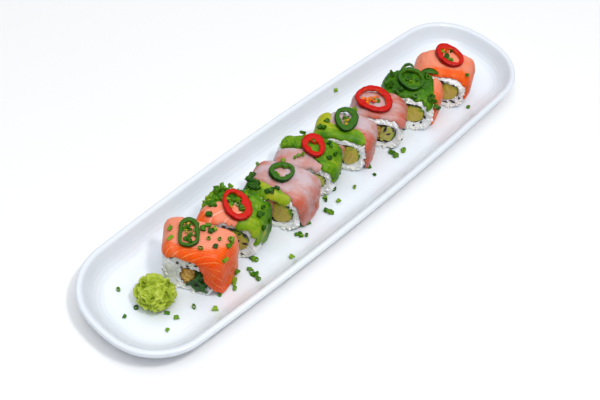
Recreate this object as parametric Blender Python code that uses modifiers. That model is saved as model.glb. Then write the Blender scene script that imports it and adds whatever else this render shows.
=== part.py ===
"""Oblong white platter carrying eight topped uramaki slices, chilli rings and a mound of wasabi.

Metres, +Z up. The origin is the middle of the platter's foot, and +X runs along the platter.
Every slice stands on its own empty: local +X goes from its near cut face to its far one,
+Y to its left and +Z up from the platter's floor.
"""

import math
from dataclasses import dataclass

import bmesh
import bpy
from mathutils import Vector

MM = 0.001
GAP = 0.3 * MM

# Platter
PLATTER_LENGTH = 420 * MM
PLATTER_WIDTH = 111.4 * MM
PLATTER_HEIGHT = 22 * MM
LONG_SIDE_BOW = 4.3 * MM
END_BOW = 0.5 * MM
CORNER_RADIUS = 44.5 * MM
FLOOR_TOP = 6.5 * MM
LONG_SIDE_STEPS = 8
END_STEPS = 2
CORNER_STEPS = 7
# Half section of the platter, as (distance in from the rim's outline, height), from the
# recess under the foot, out round the rim and back in to the floor.
PLATTER_SECTION = [
    (27.5 * MM, 1.5 * MM),
    (26.5 * MM, 0.0),
    (23.0 * MM, 0.0),
    (21.5 * MM, 2.2 * MM),
    (14.0 * MM, 4.6 * MM),
    (6.0 * MM, 10.0 * MM),
    (1.0 * MM, 15.6 * MM),
    (0.0, 20.0 * MM),
    (1.4 * MM, PLATTER_HEIGHT),
    (4.2 * MM, 21.7 * MM),
    (6.0 * MM, 19.4 * MM),
    (9.5 * MM, 13.0 * MM),
    (14.5 * MM, 8.6 * MM),
    (21.0 * MM, FLOOR_TOP),
]

# Wasabi
WASABI_CENTRE = (-161.5 * MM, 0.5 * MM)
WASABI_RADIUS = 13.2 * MM
WASABI_HEIGHT = 19 * MM
WASABI_SINK = 0.9
# Folds of the mound, as (depth, number round it, twist with height), and ripples of its top.
WASABI_FOLDS = [(0.07, 7, 3), (0.05, 11, -5)]
WASABI_RIPPLE = 0.08
WASABI_RIPPLES = 5

# Slices
TOPPING = 2.3 * MM
TOPPING_LIFT = 1.0 * MM
TOPPING_EDGE_SHARE = 0.75
END_ROUNDING = 0.015
END_ROUNDING_POWER = 6
# Rows of the rice from its near face to its far one, as (share of the thickness, size).
RICE_ROWS = [(0.0, 0.94), (0.08, 1.0), (0.5, 1.0), (0.92, 1.0), (1.0, 0.94)]
UNDERSIDE_SQUARE = 3.8
TOPPING_ROWS = 14
TOPPING_COLUMNS = 3
RICE_SEGMENTS = 20
CORE_SEGMENTS = 14
FILLING_SEGMENTS = 10
CORE_SQUARE = 2.6
FILLING_SQUARE = 2.1
FILLING_FIT = 0.88
CUTTER_OVERRUN = 0.25
NORI = 0.8 * MM
CHILLI_SEGMENTS = 15
CHILLI_SECTION_STEPS = 6

COLOURS = {
    "porcelain": (0.80, 0.82, 0.86, 0.12),
    "wasabi": (0.42, 0.55, 0.16, 0.75),
    "rice": (0.76, 0.74, 0.68, 0.50),
    "nori": (0.012, 0.020, 0.012, 0.45),
    "salmon": (0.80, 0.18, 0.05, 0.35),
    "white_fish": (0.70, 0.40, 0.36, 0.35),
    "prawn": (0.75, 0.48, 0.42, 0.40),
    "avocado": (0.14, 0.36, 0.04, 0.45),
    "avocado_core": (0.52, 0.48, 0.12, 0.50),
    "cucumber": (0.45, 0.52, 0.14, 0.35),
    "leaf": (0.02, 0.10, 0.02, 0.50),
    "tempura": (0.72, 0.42, 0.12, 0.60),
    "red_chilli": (0.62, 0.02, 0.01, 0.15),
    "green_chilli": (0.05, 0.22, 0.02, 0.15),
}

# Each slice, in millimetres and degrees: near face's middle on the floor, turn about Z,
# thickness, width and height at the near and far faces, sideways drift of the far face to
# the right, how square its section is (2 is an ellipse), how far its hanging topping spreads.
SLICES = {
    1: ((-138.5, -9.6), 28, 24, (43, 55), (40.5, 46), 0.0, 3.5, 4),
    2: ((-100.0, -4.1), 34, 25, (48, 48), (37, 42), 4.5, 3.0, 1),
    3: ((-58.5, -6.6), 27, 25, (48.5, 52), (32.5, 40), 5.0, 3.0, 1),
    4: ((-19.5, -2.1), 37, 25, (49, 50), (31, 35), 2.0, 2.9, 0),
    5: ((18.0, -3.8), 35, 22, (45.5, 49), (32.5, 37), 2.5, 3.0, 1),
    6: ((56.5, -8.6), 38, 25, (43, 45.5), (31, 34.5), -1.0, 3.0, 0),
    7: ((89.0, -9.9), 31, 25, (44.5, 50), (32, 37.5), 1.5, 2.8, 0),
    8: ((128.5, -12.8), 35, 25, (44.5, 51), (31.5, 37), 2.0, 2.5, 0),
}

# The rolled-in core of each slice: its width, height, middle to the right of the slice's
# own and height of its middle, all as shares of the rice, then where its two fillings meet,
# as a share of the way from its middle to its right, and the left and right fillings.
CORES = {
    1: (0.55, 0.54, 0.12, 0.36, 0.05, "tempura", "leaf"),
    2: (0.67, 0.67, 0.06, 0.49, 0.0, "leaf", "avocado_core"),
    3: (0.67, 0.71, 0.07, 0.51, 0.0, "prawn", "avocado_core"),
    4: (0.67, 0.65, 0.07, 0.46, -0.05, "tempura", "cucumber"),
    5: (0.66, 0.69, 0.08, 0.50, 0.12, "prawn", "avocado_core"),
    6: (0.66, 0.65, 0.07, 0.49, 0.05, "tempura", "cucumber"),
    7: (0.66, 0.67, 0.06, 0.53, -0.05, "prawn", "avocado_core"),
    8: (0.67, 0.68, 0.07, 0.54, -0.05, "prawn", "avocado_core"),
}

# Toppings: (slice, name, material, stations). A station is (way round the slice, near edge,
# far edge). Way round: 0 is the middle of the right side, 0.5 the top, 1 the middle of the
# left side, and below 0 or above 1 the sheet hangs straight down to the floor at -1 or 2.
# The edges are shares of the thickness: 0 is the near face and 1 the far one.
TOPPINGS = [
    (1, "salmon", "salmon", [(-0.92, -0.01, 1.0), (0.2, -0.03, 1.0), (1.3, -0.03, 1.0)]),
    (2, "avocado_right", "avocado", [(-0.75, 0.02, 1.0), (0.12, -0.03, 1.0), (0.42, -0.03, 1.0)]),
    (2, "salmon", "salmon", [(0.45, -0.03, 0.56), (0.75, -0.03, 0.44), (1.3, 0.0, 0.38)]),
    (2, "avocado_left", "avocado", [(0.45, 0.60, 1.0), (0.75, 0.48, 1.0), (1.3, 0.42, 1.0)]),
    (
        3,
        "white_fish",
        "white_fish",
        [(-0.9, 0.04, 1.0), (0.0, -0.01, 1.0), (0.35, 0.06, 1.0), (0.6, 0.28, 1.0), (1.25, 0.44, 1.0)],
    ),
    (3, "avocado", "avocado", [(0.36, -0.03, 0.03), (0.6, -0.03, 0.24), (1.25, 0.0, 0.40)]),
    (
        4,
        "avocado_right",
        "avocado",
        [(-0.6, 0.06, 1.0), (0.1, -0.02, 1.0), (0.35, 0.0, 1.0), (0.46, 0.30, 1.0)],
    ),
    (
        4,
        "white_fish",
        "white_fish",
        [
            (0.37, -0.03, 0.02),
            (0.48, -0.03, 0.28),
            (0.52, -0.03, 0.52),
            (0.84, -0.03, 0.60),
            (1.3, 0.0, 0.98),
        ],
    ),
    (4, "avocado_back", "avocado", [(0.49, 0.56, 1.0), (0.84, 0.64, 1.0)]),
    (
        5,
        "white_fish",
        "white_fish",
        [
            (-0.92, 0.04, 1.0),
            (0.0, -0.02, 1.0),
            (0.14, 0.12, 1.0),
            (0.4, 0.50, 1.0),
            (0.58, 0.62, 1.0),
        ],
    ),
    (
        5,
        "avocado",
        "avocado",
        [
            (0.05, -0.03, 0.02),
            (0.14, -0.03, 0.08),
            (0.4, -0.03, 0.46),
            (0.6, -0.03, 0.58),
            (0.62, -0.03, 1.0),
            (1.25, 0.0, 1.0),
        ],
    ),
    (6, "white_fish", "white_fish", [(0.08, 0.0, 0.96), (0.4, -0.03, 1.0), (1.3, 0.0, 1.0)]),
    (
        7,
        "salmon",
        "salmon",
        [(-0.95, 0.10, 1.0), (-0.1, 0.36, 1.0), (0.1, 0.58, 1.0), (0.3, 0.80, 1.0)],
    ),
    (
        7,
        "avocado",
        "avocado",
        [
            (-0.1, -0.02, 0.32),
            (0.1, -0.03, 0.54),
            (0.3, -0.03, 0.76),
            (0.34, -0.03, 1.0),
            (1.15, 0.08, 1.0),
        ],
    ),
    (
        8,
        "salmon",
        "salmon",
        [(-0.6, 0.02, 1.0), (0.1, -0.03, 1.0), (0.5, -0.03, 1.0), (1.3, 0.0, 1.0)],
    ),
]
LEAST_STRIP = 0.05


@dataclass
class Chilli:
    """A ring cut from a chilli, in millimetres and degrees in its slice's frame."""

    number: int
    name: str
    colour: str
    at: tuple
    half_size: tuple
    turn: float
    tilt: tuple
    lift: float


CHILLIES = [
    Chilli(1, "chilli_1", "green_chilli", (12.6, 5.3), (13.0, 8.4), 19, (-2, -12), 0.4),
    Chilli(2, "chilli_2", "red_chilli", (11.5, -4.6), (14.0, 9.6), 36, (3, -12), 0.6),
    Chilli(3, "chilli_3", "green_chilli", (16.3, -1.0), (10.3, 9.3), 30, (2, -12), 1.3),
    Chilli(4, "chilli_4", "red_chilli", (15.4, -3.4), (10.8, 8.6), 25, (4, -9), 0.5),
    Chilli(5, "chilli_5", "green_chilli", (15.0, -0.9), (12.0, 9.4), 8, (2, -12), 0.9),
    Chilli(6, "chilli_6", "red_chilli", (15.1, 6.5), (14.8, 11.8), 67, (-8, -5), 1.4),
    Chilli(7, "chilli_7", "green_chilli", (14.6, 1.6), (11.2, 9.8), 55, (0, -10), 1.4),
    Chilli(7, "chilli_7_small", "green_chilli", (30.0, 6.0), (7.0, 6.0), 165, (0, 58), -4.0),
    Chilli(8, "chilli_8", "red_chilli", (18.3, -2.8), (14.0, 10.0), 39, (5, -10), 1.0),
]
CHILLI_WALL = 4.4 * MM
CHILLI_DEPTH = 3.8 * MM
CHILLI_LOBES = 0.035
CHILLI_LOBES_ROUND = 3
TORUS_SECTION = 0.3
SLIVER_HALF_SIZE = (3.2 * MM, 7.0 * MM, 1.7 * MM)
SLIVER_AT = (1.2 * MM, 11.0 * MM)
SLIVER_LIFT = 1.2 * MM
SLIVER_TURN = (-14, -8, 6)
SLIVER_TAPER = 0.55
SLIVER_BOW = 0.25


# ---------------------------------------------------------------- Blender helpers
def clear_scene():
    """Removes the objects of the scene that the script starts in."""
    for obj in list(bpy.data.objects):
        bpy.data.objects.remove(obj, do_unlink=True)


def new_collection(name, hidden=False):
    """A collection linked to the scene."""
    made = bpy.data.collections.new(name)
    made.hide_render = hidden
    bpy.context.scene.collection.children.link(made)
    return made


def material(name):
    """The Principled material of this name, made on first use."""
    found = bpy.data.materials.get(name)
    if found:
        return found
    red, green, blue, rough = COLOURS[name]
    made = bpy.data.materials.new(name)
    made.use_nodes = True
    shader = made.node_tree.nodes["Principled BSDF"]
    shader.inputs["Base Color"].default_value = (red, green, blue, 1.0)
    shader.inputs["Roughness"].default_value = rough
    made.diffuse_color = (red, green, blue, 1.0)
    return made


def add_object(name, mesh, material_name, collection, parent=None):
    """An object holding this mesh, under its parent."""
    made = bpy.data.objects.new(name, mesh)
    collection.objects.link(made)
    made.parent = parent
    if material_name:
        mesh.materials.append(material(material_name))
        mesh.shade_smooth()
        mesh.set_sharp_from_angle(angle=math.radians(45))
    return made


def adopt(obj, name, collection):
    """Names a new primitive and moves it into this collection."""
    obj.name = name
    for holder in list(obj.users_collection):
        holder.objects.unlink(obj)
    collection.objects.link(obj)
    return obj


def loft(name, loops):
    """A closed mesh through these loops of points, with a flat cap on the first and last."""
    work = bmesh.new()
    rows = [[work.verts.new(point) for point in loop] for loop in loops]
    count = len(rows[0])
    for near, far in zip(rows, rows[1:]):
        for i in range(count):
            j = (i + 1) % count
            work.faces.new((near[i], near[j], far[j], far[i]))
    work.faces.new(rows[0][::-1])
    work.faces.new(rows[-1])
    bmesh.ops.recalc_face_normals(work, faces=work.faces)
    mesh = bpy.data.meshes.new(name)
    work.to_mesh(mesh)
    work.free()
    return mesh


def signed_power(value, power):
    """The value's size to a power, with its sign kept."""
    return math.copysign(abs(value) ** power, value)


def blend(low, high, share):
    """The value this share of the way from low to high."""
    return low + (high - low) * share


# ---------------------------------------------------------------- platter
def bowed_side(start, end, bow):
    """Centre, radius and end angles of the arc from start to end that bows out to its right."""
    start, end = Vector(start), Vector(end)
    half = (end - start).length / 2
    radius = (half * half + bow * bow) / (2 * bow)
    along = (end - start).normalized()
    outward = Vector((along.y, -along.x))
    centre = (start + end) / 2 - outward * (radius - bow)
    first = math.atan2(start.y - centre.y, start.x - centre.x)
    last = math.atan2(end.y - centre.y, end.x - centre.x)
    return centre, radius, first, last + (math.tau if last < first else 0.0)


def platter_outline(inset, height):
    """The platter's outline this far in from the rim: four bowed sides and four round corners."""
    corner = CORNER_RADIUS - inset
    x = PLATTER_LENGTH / 2 - CORNER_RADIUS - END_BOW
    y = PLATTER_WIDTH / 2 - CORNER_RADIUS - LONG_SIDE_BOW
    corners = [(x, -y), (x, y), (-x, y), (-x, -y)]
    bows = [END_BOW, LONG_SIDE_BOW, END_BOW, LONG_SIDE_BOW]
    steps = [END_STEPS, LONG_SIDE_STEPS, END_STEPS, LONG_SIDE_STEPS]
    sides = [bowed_side(corners[i], corners[(i + 1) % 4], bows[i]) for i in range(4)]
    points = []
    for i, (centre, radius, first, last) in enumerate(sides):
        for k in range(steps[i]):
            angle = blend(first, last, k / steps[i])
            reach = radius + corner
            points.append((centre.x + reach * math.cos(angle), centre.y + reach * math.sin(angle), height))
        turn_end = sides[(i + 1) % 4][2]
        turn_end += math.tau if turn_end < last else 0.0
        pivot = corners[(i + 1) % 4]
        for k in range(CORNER_STEPS):
            angle = blend(last, turn_end, k / CORNER_STEPS)
            points.append((pivot[0] + corner * math.cos(angle), pivot[1] + corner * math.sin(angle), height))
    return points


def build_platter(collection):
    """The platter: one loft round its section, from under the foot to the floor."""
    loops = [platter_outline(inset, height) for inset, height in PLATTER_SECTION]
    add_object("platter", loft("platter", loops), "porcelain", collection)


# ---------------------------------------------------------------- wasabi
def build_wasabi(collection):
    """A squeezed mound with crumpled folds round it."""
    bpy.ops.mesh.primitive_uv_sphere_add(segments=20, ring_count=10, radius=1.0)
    mound = adopt(bpy.context.object, "wasabi", collection)
    for vertex in mound.data.vertices:
        x, y, z = vertex.co
        around = math.atan2(y, x)
        ring = math.hypot(x, y)
        fold = 1 + sum(deep * math.sin(count * around + twist * z) for deep, count, twist in WASABI_FOLDS)
        ripple = 1 + WASABI_RIPPLE * ring * math.sin(WASABI_RIPPLES * around)
        top = WASABI_HEIGHT / 2 * (z * ripple + WASABI_SINK)
        vertex.co = (x * fold * WASABI_RADIUS, y * fold * WASABI_RADIUS, max(top, 0.0))
    mound.location = (*WASABI_CENTRE, FLOOR_TOP + GAP)
    mound.data.materials.append(material("wasabi"))
    mound.data.shade_smooth()


# ---------------------------------------------------------------- one slice
class Slice:
    """The measures of one slice, and the curves that its pieces follow, in its own frame."""

    def __init__(self, number, at, turn, thick, wide, tall, drift, square, flare):
        self.number = number
        self.thick = thick * MM
        self.wide = [value * MM for value in wide]
        self.tall = [value * MM for value in tall]
        self.drift = drift * MM
        self.square = square
        self.flare = flare * MM
        self.frame = bpy.data.objects.new(f"slice_{number}", None)
        self.frame.location = (at[0] * MM, at[1] * MM, FLOOR_TOP + GAP)
        self.frame.rotation_euler.z = math.radians(turn)

    def size_at(self, share):
        """Width, height and middle across the slice, this share of the way to its far face."""
        inside = min(max(share, 0.0), 1.0)
        rounding = 1 - END_ROUNDING * (2 * inside - 1) ** END_ROUNDING_POWER
        width = blend(*self.wide, share) * rounding
        height = blend(*self.tall, share) * rounding
        return width, height, -self.drift * share

    def rice_loop(self, share, size):
        """The rice's outline at this share of the thickness, brought in to this size."""
        width, height, middle = self.size_at(share)
        half = (width / 2 - TOPPING - TOPPING_LIFT) * size
        tall = (height - TOPPING - TOPPING_LIFT) / 2
        loop = []
        for k in range(RICE_SEGMENTS):
            angle = math.tau * k / RICE_SEGMENTS
            square = self.square if math.sin(angle) >= 0 else UNDERSIDE_SQUARE
            across = half * signed_power(math.cos(angle), 2 / square)
            up = tall + tall * size * signed_power(math.sin(angle), 2 / square)
            loop.append((self.thick * share, middle - across, up))
        return loop

    def wall_point(self, way, share, lift):
        """A point lifted off the rice, at this way round it and share of its thickness."""
        width, height, middle = self.size_at(share)
        half = width / 2 - TOPPING - TOPPING_LIFT
        tall = (height - TOPPING - TOPPING_LIFT) / 2
        if 0 <= way <= 1:
            angle = math.pi * way
            across = (half + lift) * signed_power(math.cos(angle), 2 / self.square)
            up = tall + (tall + lift) * signed_power(math.sin(angle), 2 / self.square)
        else:
            fall = -way if way < 0 else way - 1
            spread = self.flare * (1 - share) * fall**2
            across = (half + lift + spread) * (1 if way < 0 else -1)
            up = tall * (1 - fall)
        return Vector((self.thick * share, middle - across, up))

    def top_height(self, along, left):
        """Height of the topping's upper surface above a place on the slice."""
        width, height, middle = self.size_at(along / self.thick)
        across = min(abs(left - middle) / (width / 2), 0.98)
        return height / 2 + height / 2 * (1 - across**self.square) ** (1 / self.square)


def core_loop(slice_, core, share, shrink):
    """The outline of the rolled-in core at this share of the thickness, brought in by shrink."""
    wide, tall, right, up = core[:4]
    width, height, middle = slice_.size_at(share)
    half = wide * (width / 2 - TOPPING) - shrink
    half_tall = tall * (height - TOPPING) / 2 - shrink
    centre = middle - right * width / 2
    loop = []
    for k in range(CORE_SEGMENTS):
        angle = math.tau * k / CORE_SEGMENTS
        across = half * signed_power(math.cos(angle), 2 / CORE_SQUARE)
        rise = half_tall * signed_power(math.sin(angle), 2 / CORE_SQUARE)
        loop.append((slice_.thick * share, centre - across, up * (height - TOPPING) + rise))
    return loop


def cut_through(obj, cutter):
    """Takes the cutter out of the object."""
    cutter.hide_render = True
    cutter.display_type = "WIRE"
    cut = obj.modifiers.new("channel", "BOOLEAN")
    cut.operation = "DIFFERENCE"
    cut.solver = "EXACT"
    cut.object = cutter


def build_rice_and_core(slice_, core, parts, cutters):
    """The rice with its channel, the nori lining it, and the two fillings side by side."""
    number = slice_.number
    loops = [slice_.rice_loop(share, size) for share, size in RICE_ROWS]
    rice = add_object(f"rice_{number}", loft(f"rice_{number}", loops), "rice", parts, slice_.frame)

    def prism(name, shrink, overrun, collection, material_name=None):
        ends = [core_loop(slice_, core, share, shrink) for share in (-overrun, 1 + overrun)]
        return add_object(name, loft(name, ends), material_name, collection, slice_.frame)

    cut_through(rice, prism(f"channel_{number}", 0.0, CUTTER_OVERRUN, cutters))
    nori = prism(f"nori_{number}", GAP, 0.0, parts, "nori")
    cut_through(nori, prism(f"bore_{number}", GAP + NORI, CUTTER_OVERRUN, cutters))
    build_fillings(slice_, core, parts)


def build_fillings(slice_, core, parts):
    """Two rods of filling that share the nori's inside."""
    wide, tall, right, up, meet = core[:5]
    clearance = 2 * GAP + NORI
    for side, material_name in zip(("left", "right"), core[5:]):
        loops = []
        for share in (0.0, 1.0):
            width, height, middle = slice_.size_at(share)
            half = wide * (width / 2 - TOPPING) - clearance
            half_tall = FILLING_FIT * (tall * (height - TOPPING) / 2 - clearance)
            split = meet * half
            low, high = (split + GAP, half) if side == "right" else (-half, split - GAP)
            reach = FILLING_FIT * (high - low) / 2
            centre = (high + low) / 2 * (1 - (1 - FILLING_FIT) / 2)
            loop = []
            for k in range(FILLING_SEGMENTS):
                angle = math.tau * (k + 0.5) / FILLING_SEGMENTS
                across = centre + reach * signed_power(math.cos(angle), 2 / FILLING_SQUARE)
                rise = half_tall * signed_power(math.sin(angle), 2 / FILLING_SQUARE)
                left = middle - right * width / 2 - across
                loop.append((slice_.thick * share, left, up * (height - TOPPING) + rise))
            loops.append(loop)
        name = f"filling_{side}_{slice_.number}"
        add_object(name, loft(name, loops), material_name, parts, slice_.frame)


def station_edges(stations, way):
    """Near and far edge of a topping at this way round the slice."""
    for low, high in zip(stations, stations[1:]):
        if way <= high[0]:
            share = (way - low[0]) / (high[0] - low[0])
            return blend(low[1], high[1], share), blend(low[2], high[2], share)
    return stations[-1][1:]


def topping_ways(stations):
    """Even steps round the slice between the stations, with a row on each station."""
    ways = [stations[0][0]]
    for low, high in zip(stations, stations[1:]):
        steps = max(1, round((high[0] - low[0]) * TOPPING_ROWS / 2))
        ways += [blend(low[0], high[0], (k + 1) / steps) for k in range(steps)]
    return ways


def build_topping(slice_, name, material_name, stations, parts):
    """A draped strip: an open sheet over the rice, thickened outwards and thinner at its edges."""
    ways = topping_ways(stations)
    work = bmesh.new()
    bmesh.ops.create_grid(work, x_segments=len(ways) - 1, y_segments=TOPPING_COLUMNS, size=0.5)
    inner = []
    for vertex in work.verts:
        row = round((vertex.co.x + 0.5) * (len(ways) - 1))
        column = round((vertex.co.y + 0.5) * TOPPING_COLUMNS)
        near, far = station_edges(stations, ways[row])
        share = blend(near, max(far, near + LEAST_STRIP), column / TOPPING_COLUMNS)
        if 0 < row < len(ways) - 1 and 0 < column < TOPPING_COLUMNS:
            inner.append(vertex.index)
        vertex.co = slice_.wall_point(ways[row], share, TOPPING_LIFT)
    # The grid's own faces look into the rice once it is wrapped over the slice.
    bmesh.ops.reverse_faces(work, faces=work.faces)
    mesh = bpy.data.meshes.new(name)
    work.to_mesh(mesh)
    work.free()
    strip = add_object(name, mesh, material_name, parts, slice_.frame)
    body = strip.vertex_groups.new(name="body")
    body.add(inner, 1.0, "REPLACE")
    thicken = strip.modifiers.new("thickness", "SOLIDIFY")
    thicken.thickness = TOPPING
    thicken.offset = 1.0
    thicken.vertex_group = body.name
    thicken.thickness_vertex_group = TOPPING_EDGE_SHARE


def build_chilli(slice_, chilli, parts):
    """A lobed ring cut from a chilli, lying on the topping."""
    bpy.ops.mesh.primitive_torus_add(
        major_segments=CHILLI_SEGMENTS,
        minor_segments=CHILLI_SECTION_STEPS,
        major_radius=1.0,
        minor_radius=TORUS_SECTION,
    )
    ring = adopt(bpy.context.object, chilli.name, parts)
    for vertex in ring.data.vertices:
        x, y, z = vertex.co
        around = math.atan2(y, x)
        out = (math.hypot(x, y) - 1.0) / TORUS_SECTION
        lobe = 1 + CHILLI_LOBES * math.sin(CHILLI_LOBES_ROUND * around + chilli.number)
        reach = [half * MM * lobe - (1 - out) * CHILLI_WALL / 2 for half in chilli.half_size]
        height = z / TORUS_SECTION * CHILLI_DEPTH / 2
        vertex.co = (reach[0] * math.cos(around), reach[1] * math.sin(around), height)
    ring.parent = slice_.frame
    along, left = (value * MM for value in chilli.at)
    top = slice_.top_height(along, left)
    ring.location = (along, left, top + CHILLI_DEPTH / 2 + chilli.lift * MM)
    ring.rotation_euler = [math.radians(angle) for angle in (*chilli.tilt, chilli.turn)]
    ring.data.materials.append(material(chilli.colour))
    ring.data.shade_smooth()


def build_sliver(slice_, parts):
    """The pointed green sliver that lies on the near left shoulder of the last slice."""
    bpy.ops.mesh.primitive_uv_sphere_add(segments=12, ring_count=7, radius=1.0)
    sliver = adopt(bpy.context.object, "green_sliver", parts)
    for vertex in sliver.data.vertices:
        x, y, z = vertex.co
        taper = 1 - SLIVER_TAPER * y * y
        bow = SLIVER_BOW * (1 - y * y)
        shaped = (x * taper - bow, y, z * taper)
        vertex.co = [value * half for value, half in zip(shaped, SLIVER_HALF_SIZE)]
    sliver.parent = slice_.frame
    top = slice_.top_height(*SLIVER_AT)
    sliver.location = (*SLIVER_AT, top + SLIVER_HALF_SIZE[2] + SLIVER_LIFT)
    sliver.rotation_euler = [math.radians(angle) for angle in SLIVER_TURN]
    sliver.data.materials.append(material("green_chilli"))
    sliver.data.shade_smooth()


def main():
    """Builds the platter and everything on it."""
    clear_scene()
    parts = new_collection("uramaki_platter")
    cutters = new_collection("cutters", hidden=True)
    build_platter(parts)
    build_wasabi(parts)
    slices = {number: Slice(number, *measures) for number, measures in SLICES.items()}
    for number, slice_ in slices.items():
        parts.objects.link(slice_.frame)
        build_rice_and_core(slice_, CORES[number], parts, cutters)
    for number, name, material_name, stations in TOPPINGS:
        build_topping(slices[number], f"{name}_{number}", material_name, stations, parts)
    for chilli in CHILLIES:
        build_chilli(slices[chilli.number], chilli, parts)
    build_sliver(slices[8], parts)


main()
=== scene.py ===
"""The looks of a long white platter of uramaki: eight slices, their toppings, wasabi and chives.

Lengths are in millimetres up to the moment a mesh is made, and +Z is up. Every slice has a
frame of its own: +x goes from its near cut face to its far one, +y to its left, and z is the
height above the platter's floor.
"""
import logging
import math
from dataclasses import dataclass, field
from enum import Enum

import bpy
import numpy as np
from mathutils import Matrix, Vector


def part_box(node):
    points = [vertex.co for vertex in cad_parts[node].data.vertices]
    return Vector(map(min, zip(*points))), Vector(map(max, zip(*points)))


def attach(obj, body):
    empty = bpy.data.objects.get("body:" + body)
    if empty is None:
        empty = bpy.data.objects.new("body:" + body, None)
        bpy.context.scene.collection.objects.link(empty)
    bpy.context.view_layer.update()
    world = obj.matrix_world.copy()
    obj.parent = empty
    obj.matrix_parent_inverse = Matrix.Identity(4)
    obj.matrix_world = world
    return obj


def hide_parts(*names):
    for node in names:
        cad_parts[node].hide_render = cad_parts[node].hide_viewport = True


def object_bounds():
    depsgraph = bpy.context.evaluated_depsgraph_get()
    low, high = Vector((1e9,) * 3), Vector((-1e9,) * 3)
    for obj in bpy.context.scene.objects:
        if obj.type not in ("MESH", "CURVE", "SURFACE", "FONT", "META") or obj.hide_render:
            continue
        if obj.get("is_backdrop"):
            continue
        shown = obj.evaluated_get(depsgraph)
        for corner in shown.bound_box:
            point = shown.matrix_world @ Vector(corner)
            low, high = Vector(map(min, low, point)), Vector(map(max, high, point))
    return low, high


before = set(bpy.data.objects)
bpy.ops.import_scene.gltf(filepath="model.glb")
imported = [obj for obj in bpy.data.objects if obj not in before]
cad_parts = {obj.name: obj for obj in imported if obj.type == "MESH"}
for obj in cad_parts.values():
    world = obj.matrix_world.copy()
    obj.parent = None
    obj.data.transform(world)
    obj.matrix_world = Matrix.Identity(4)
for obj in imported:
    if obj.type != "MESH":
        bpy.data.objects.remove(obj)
CAD_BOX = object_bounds()

MM = 0.001
TAU = math.tau
LOG = logging.getLogger("uramaki")

Stations = list[tuple[float, float, float]]
Colour = tuple[float, float, float]


# ------------------------------------------------------------------ numbers
def signed_power(value: np.ndarray, power: float) -> np.ndarray:
    """The size of each value to a power, with its sign kept."""
    return np.sign(value) * np.abs(value) ** power


def smooth_step(value: np.ndarray, low: float, high: float) -> np.ndarray:
    """0 below low, 1 above high and an even S between them."""
    share = np.clip((value - low) / (high - low), 0.0, 1.0)
    return share * share * (3.0 - 2.0 * share)


def unit(vectors: np.ndarray) -> np.ndarray:
    """The vectors at length 1."""
    return vectors / np.maximum(np.linalg.norm(vectors, axis=-1, keepdims=True), 1e-9)


@dataclass(frozen=True)
class Wobble:
    """Smooth seeded unevenness, a sum of plane waves that stays between about -1 and 1.

    Args:
        size: The length of a typical wave, in millimetres.
        seed: The seed of its directions and phases.
        waves: How many waves it sums.
    """

    size: float
    seed: int
    waves: int = 14

    def at(self, points: np.ndarray) -> np.ndarray:
        """The unevenness at each point.

        Args:
            points: Points whose last axis is x, y, z.

        Returns:
            One number for each point.
        """
        draw = np.random.default_rng(self.seed)
        ways = unit(draw.normal(size=(self.waves, 3)))
        lengths = self.size * draw.uniform(0.7, 1.6, self.waves)
        phases = draw.uniform(0.0, TAU, self.waves)
        turns = points @ (ways / lengths[:, None] * TAU).T + phases
        return np.sin(turns).sum(-1) / math.sqrt(self.waves)


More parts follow.
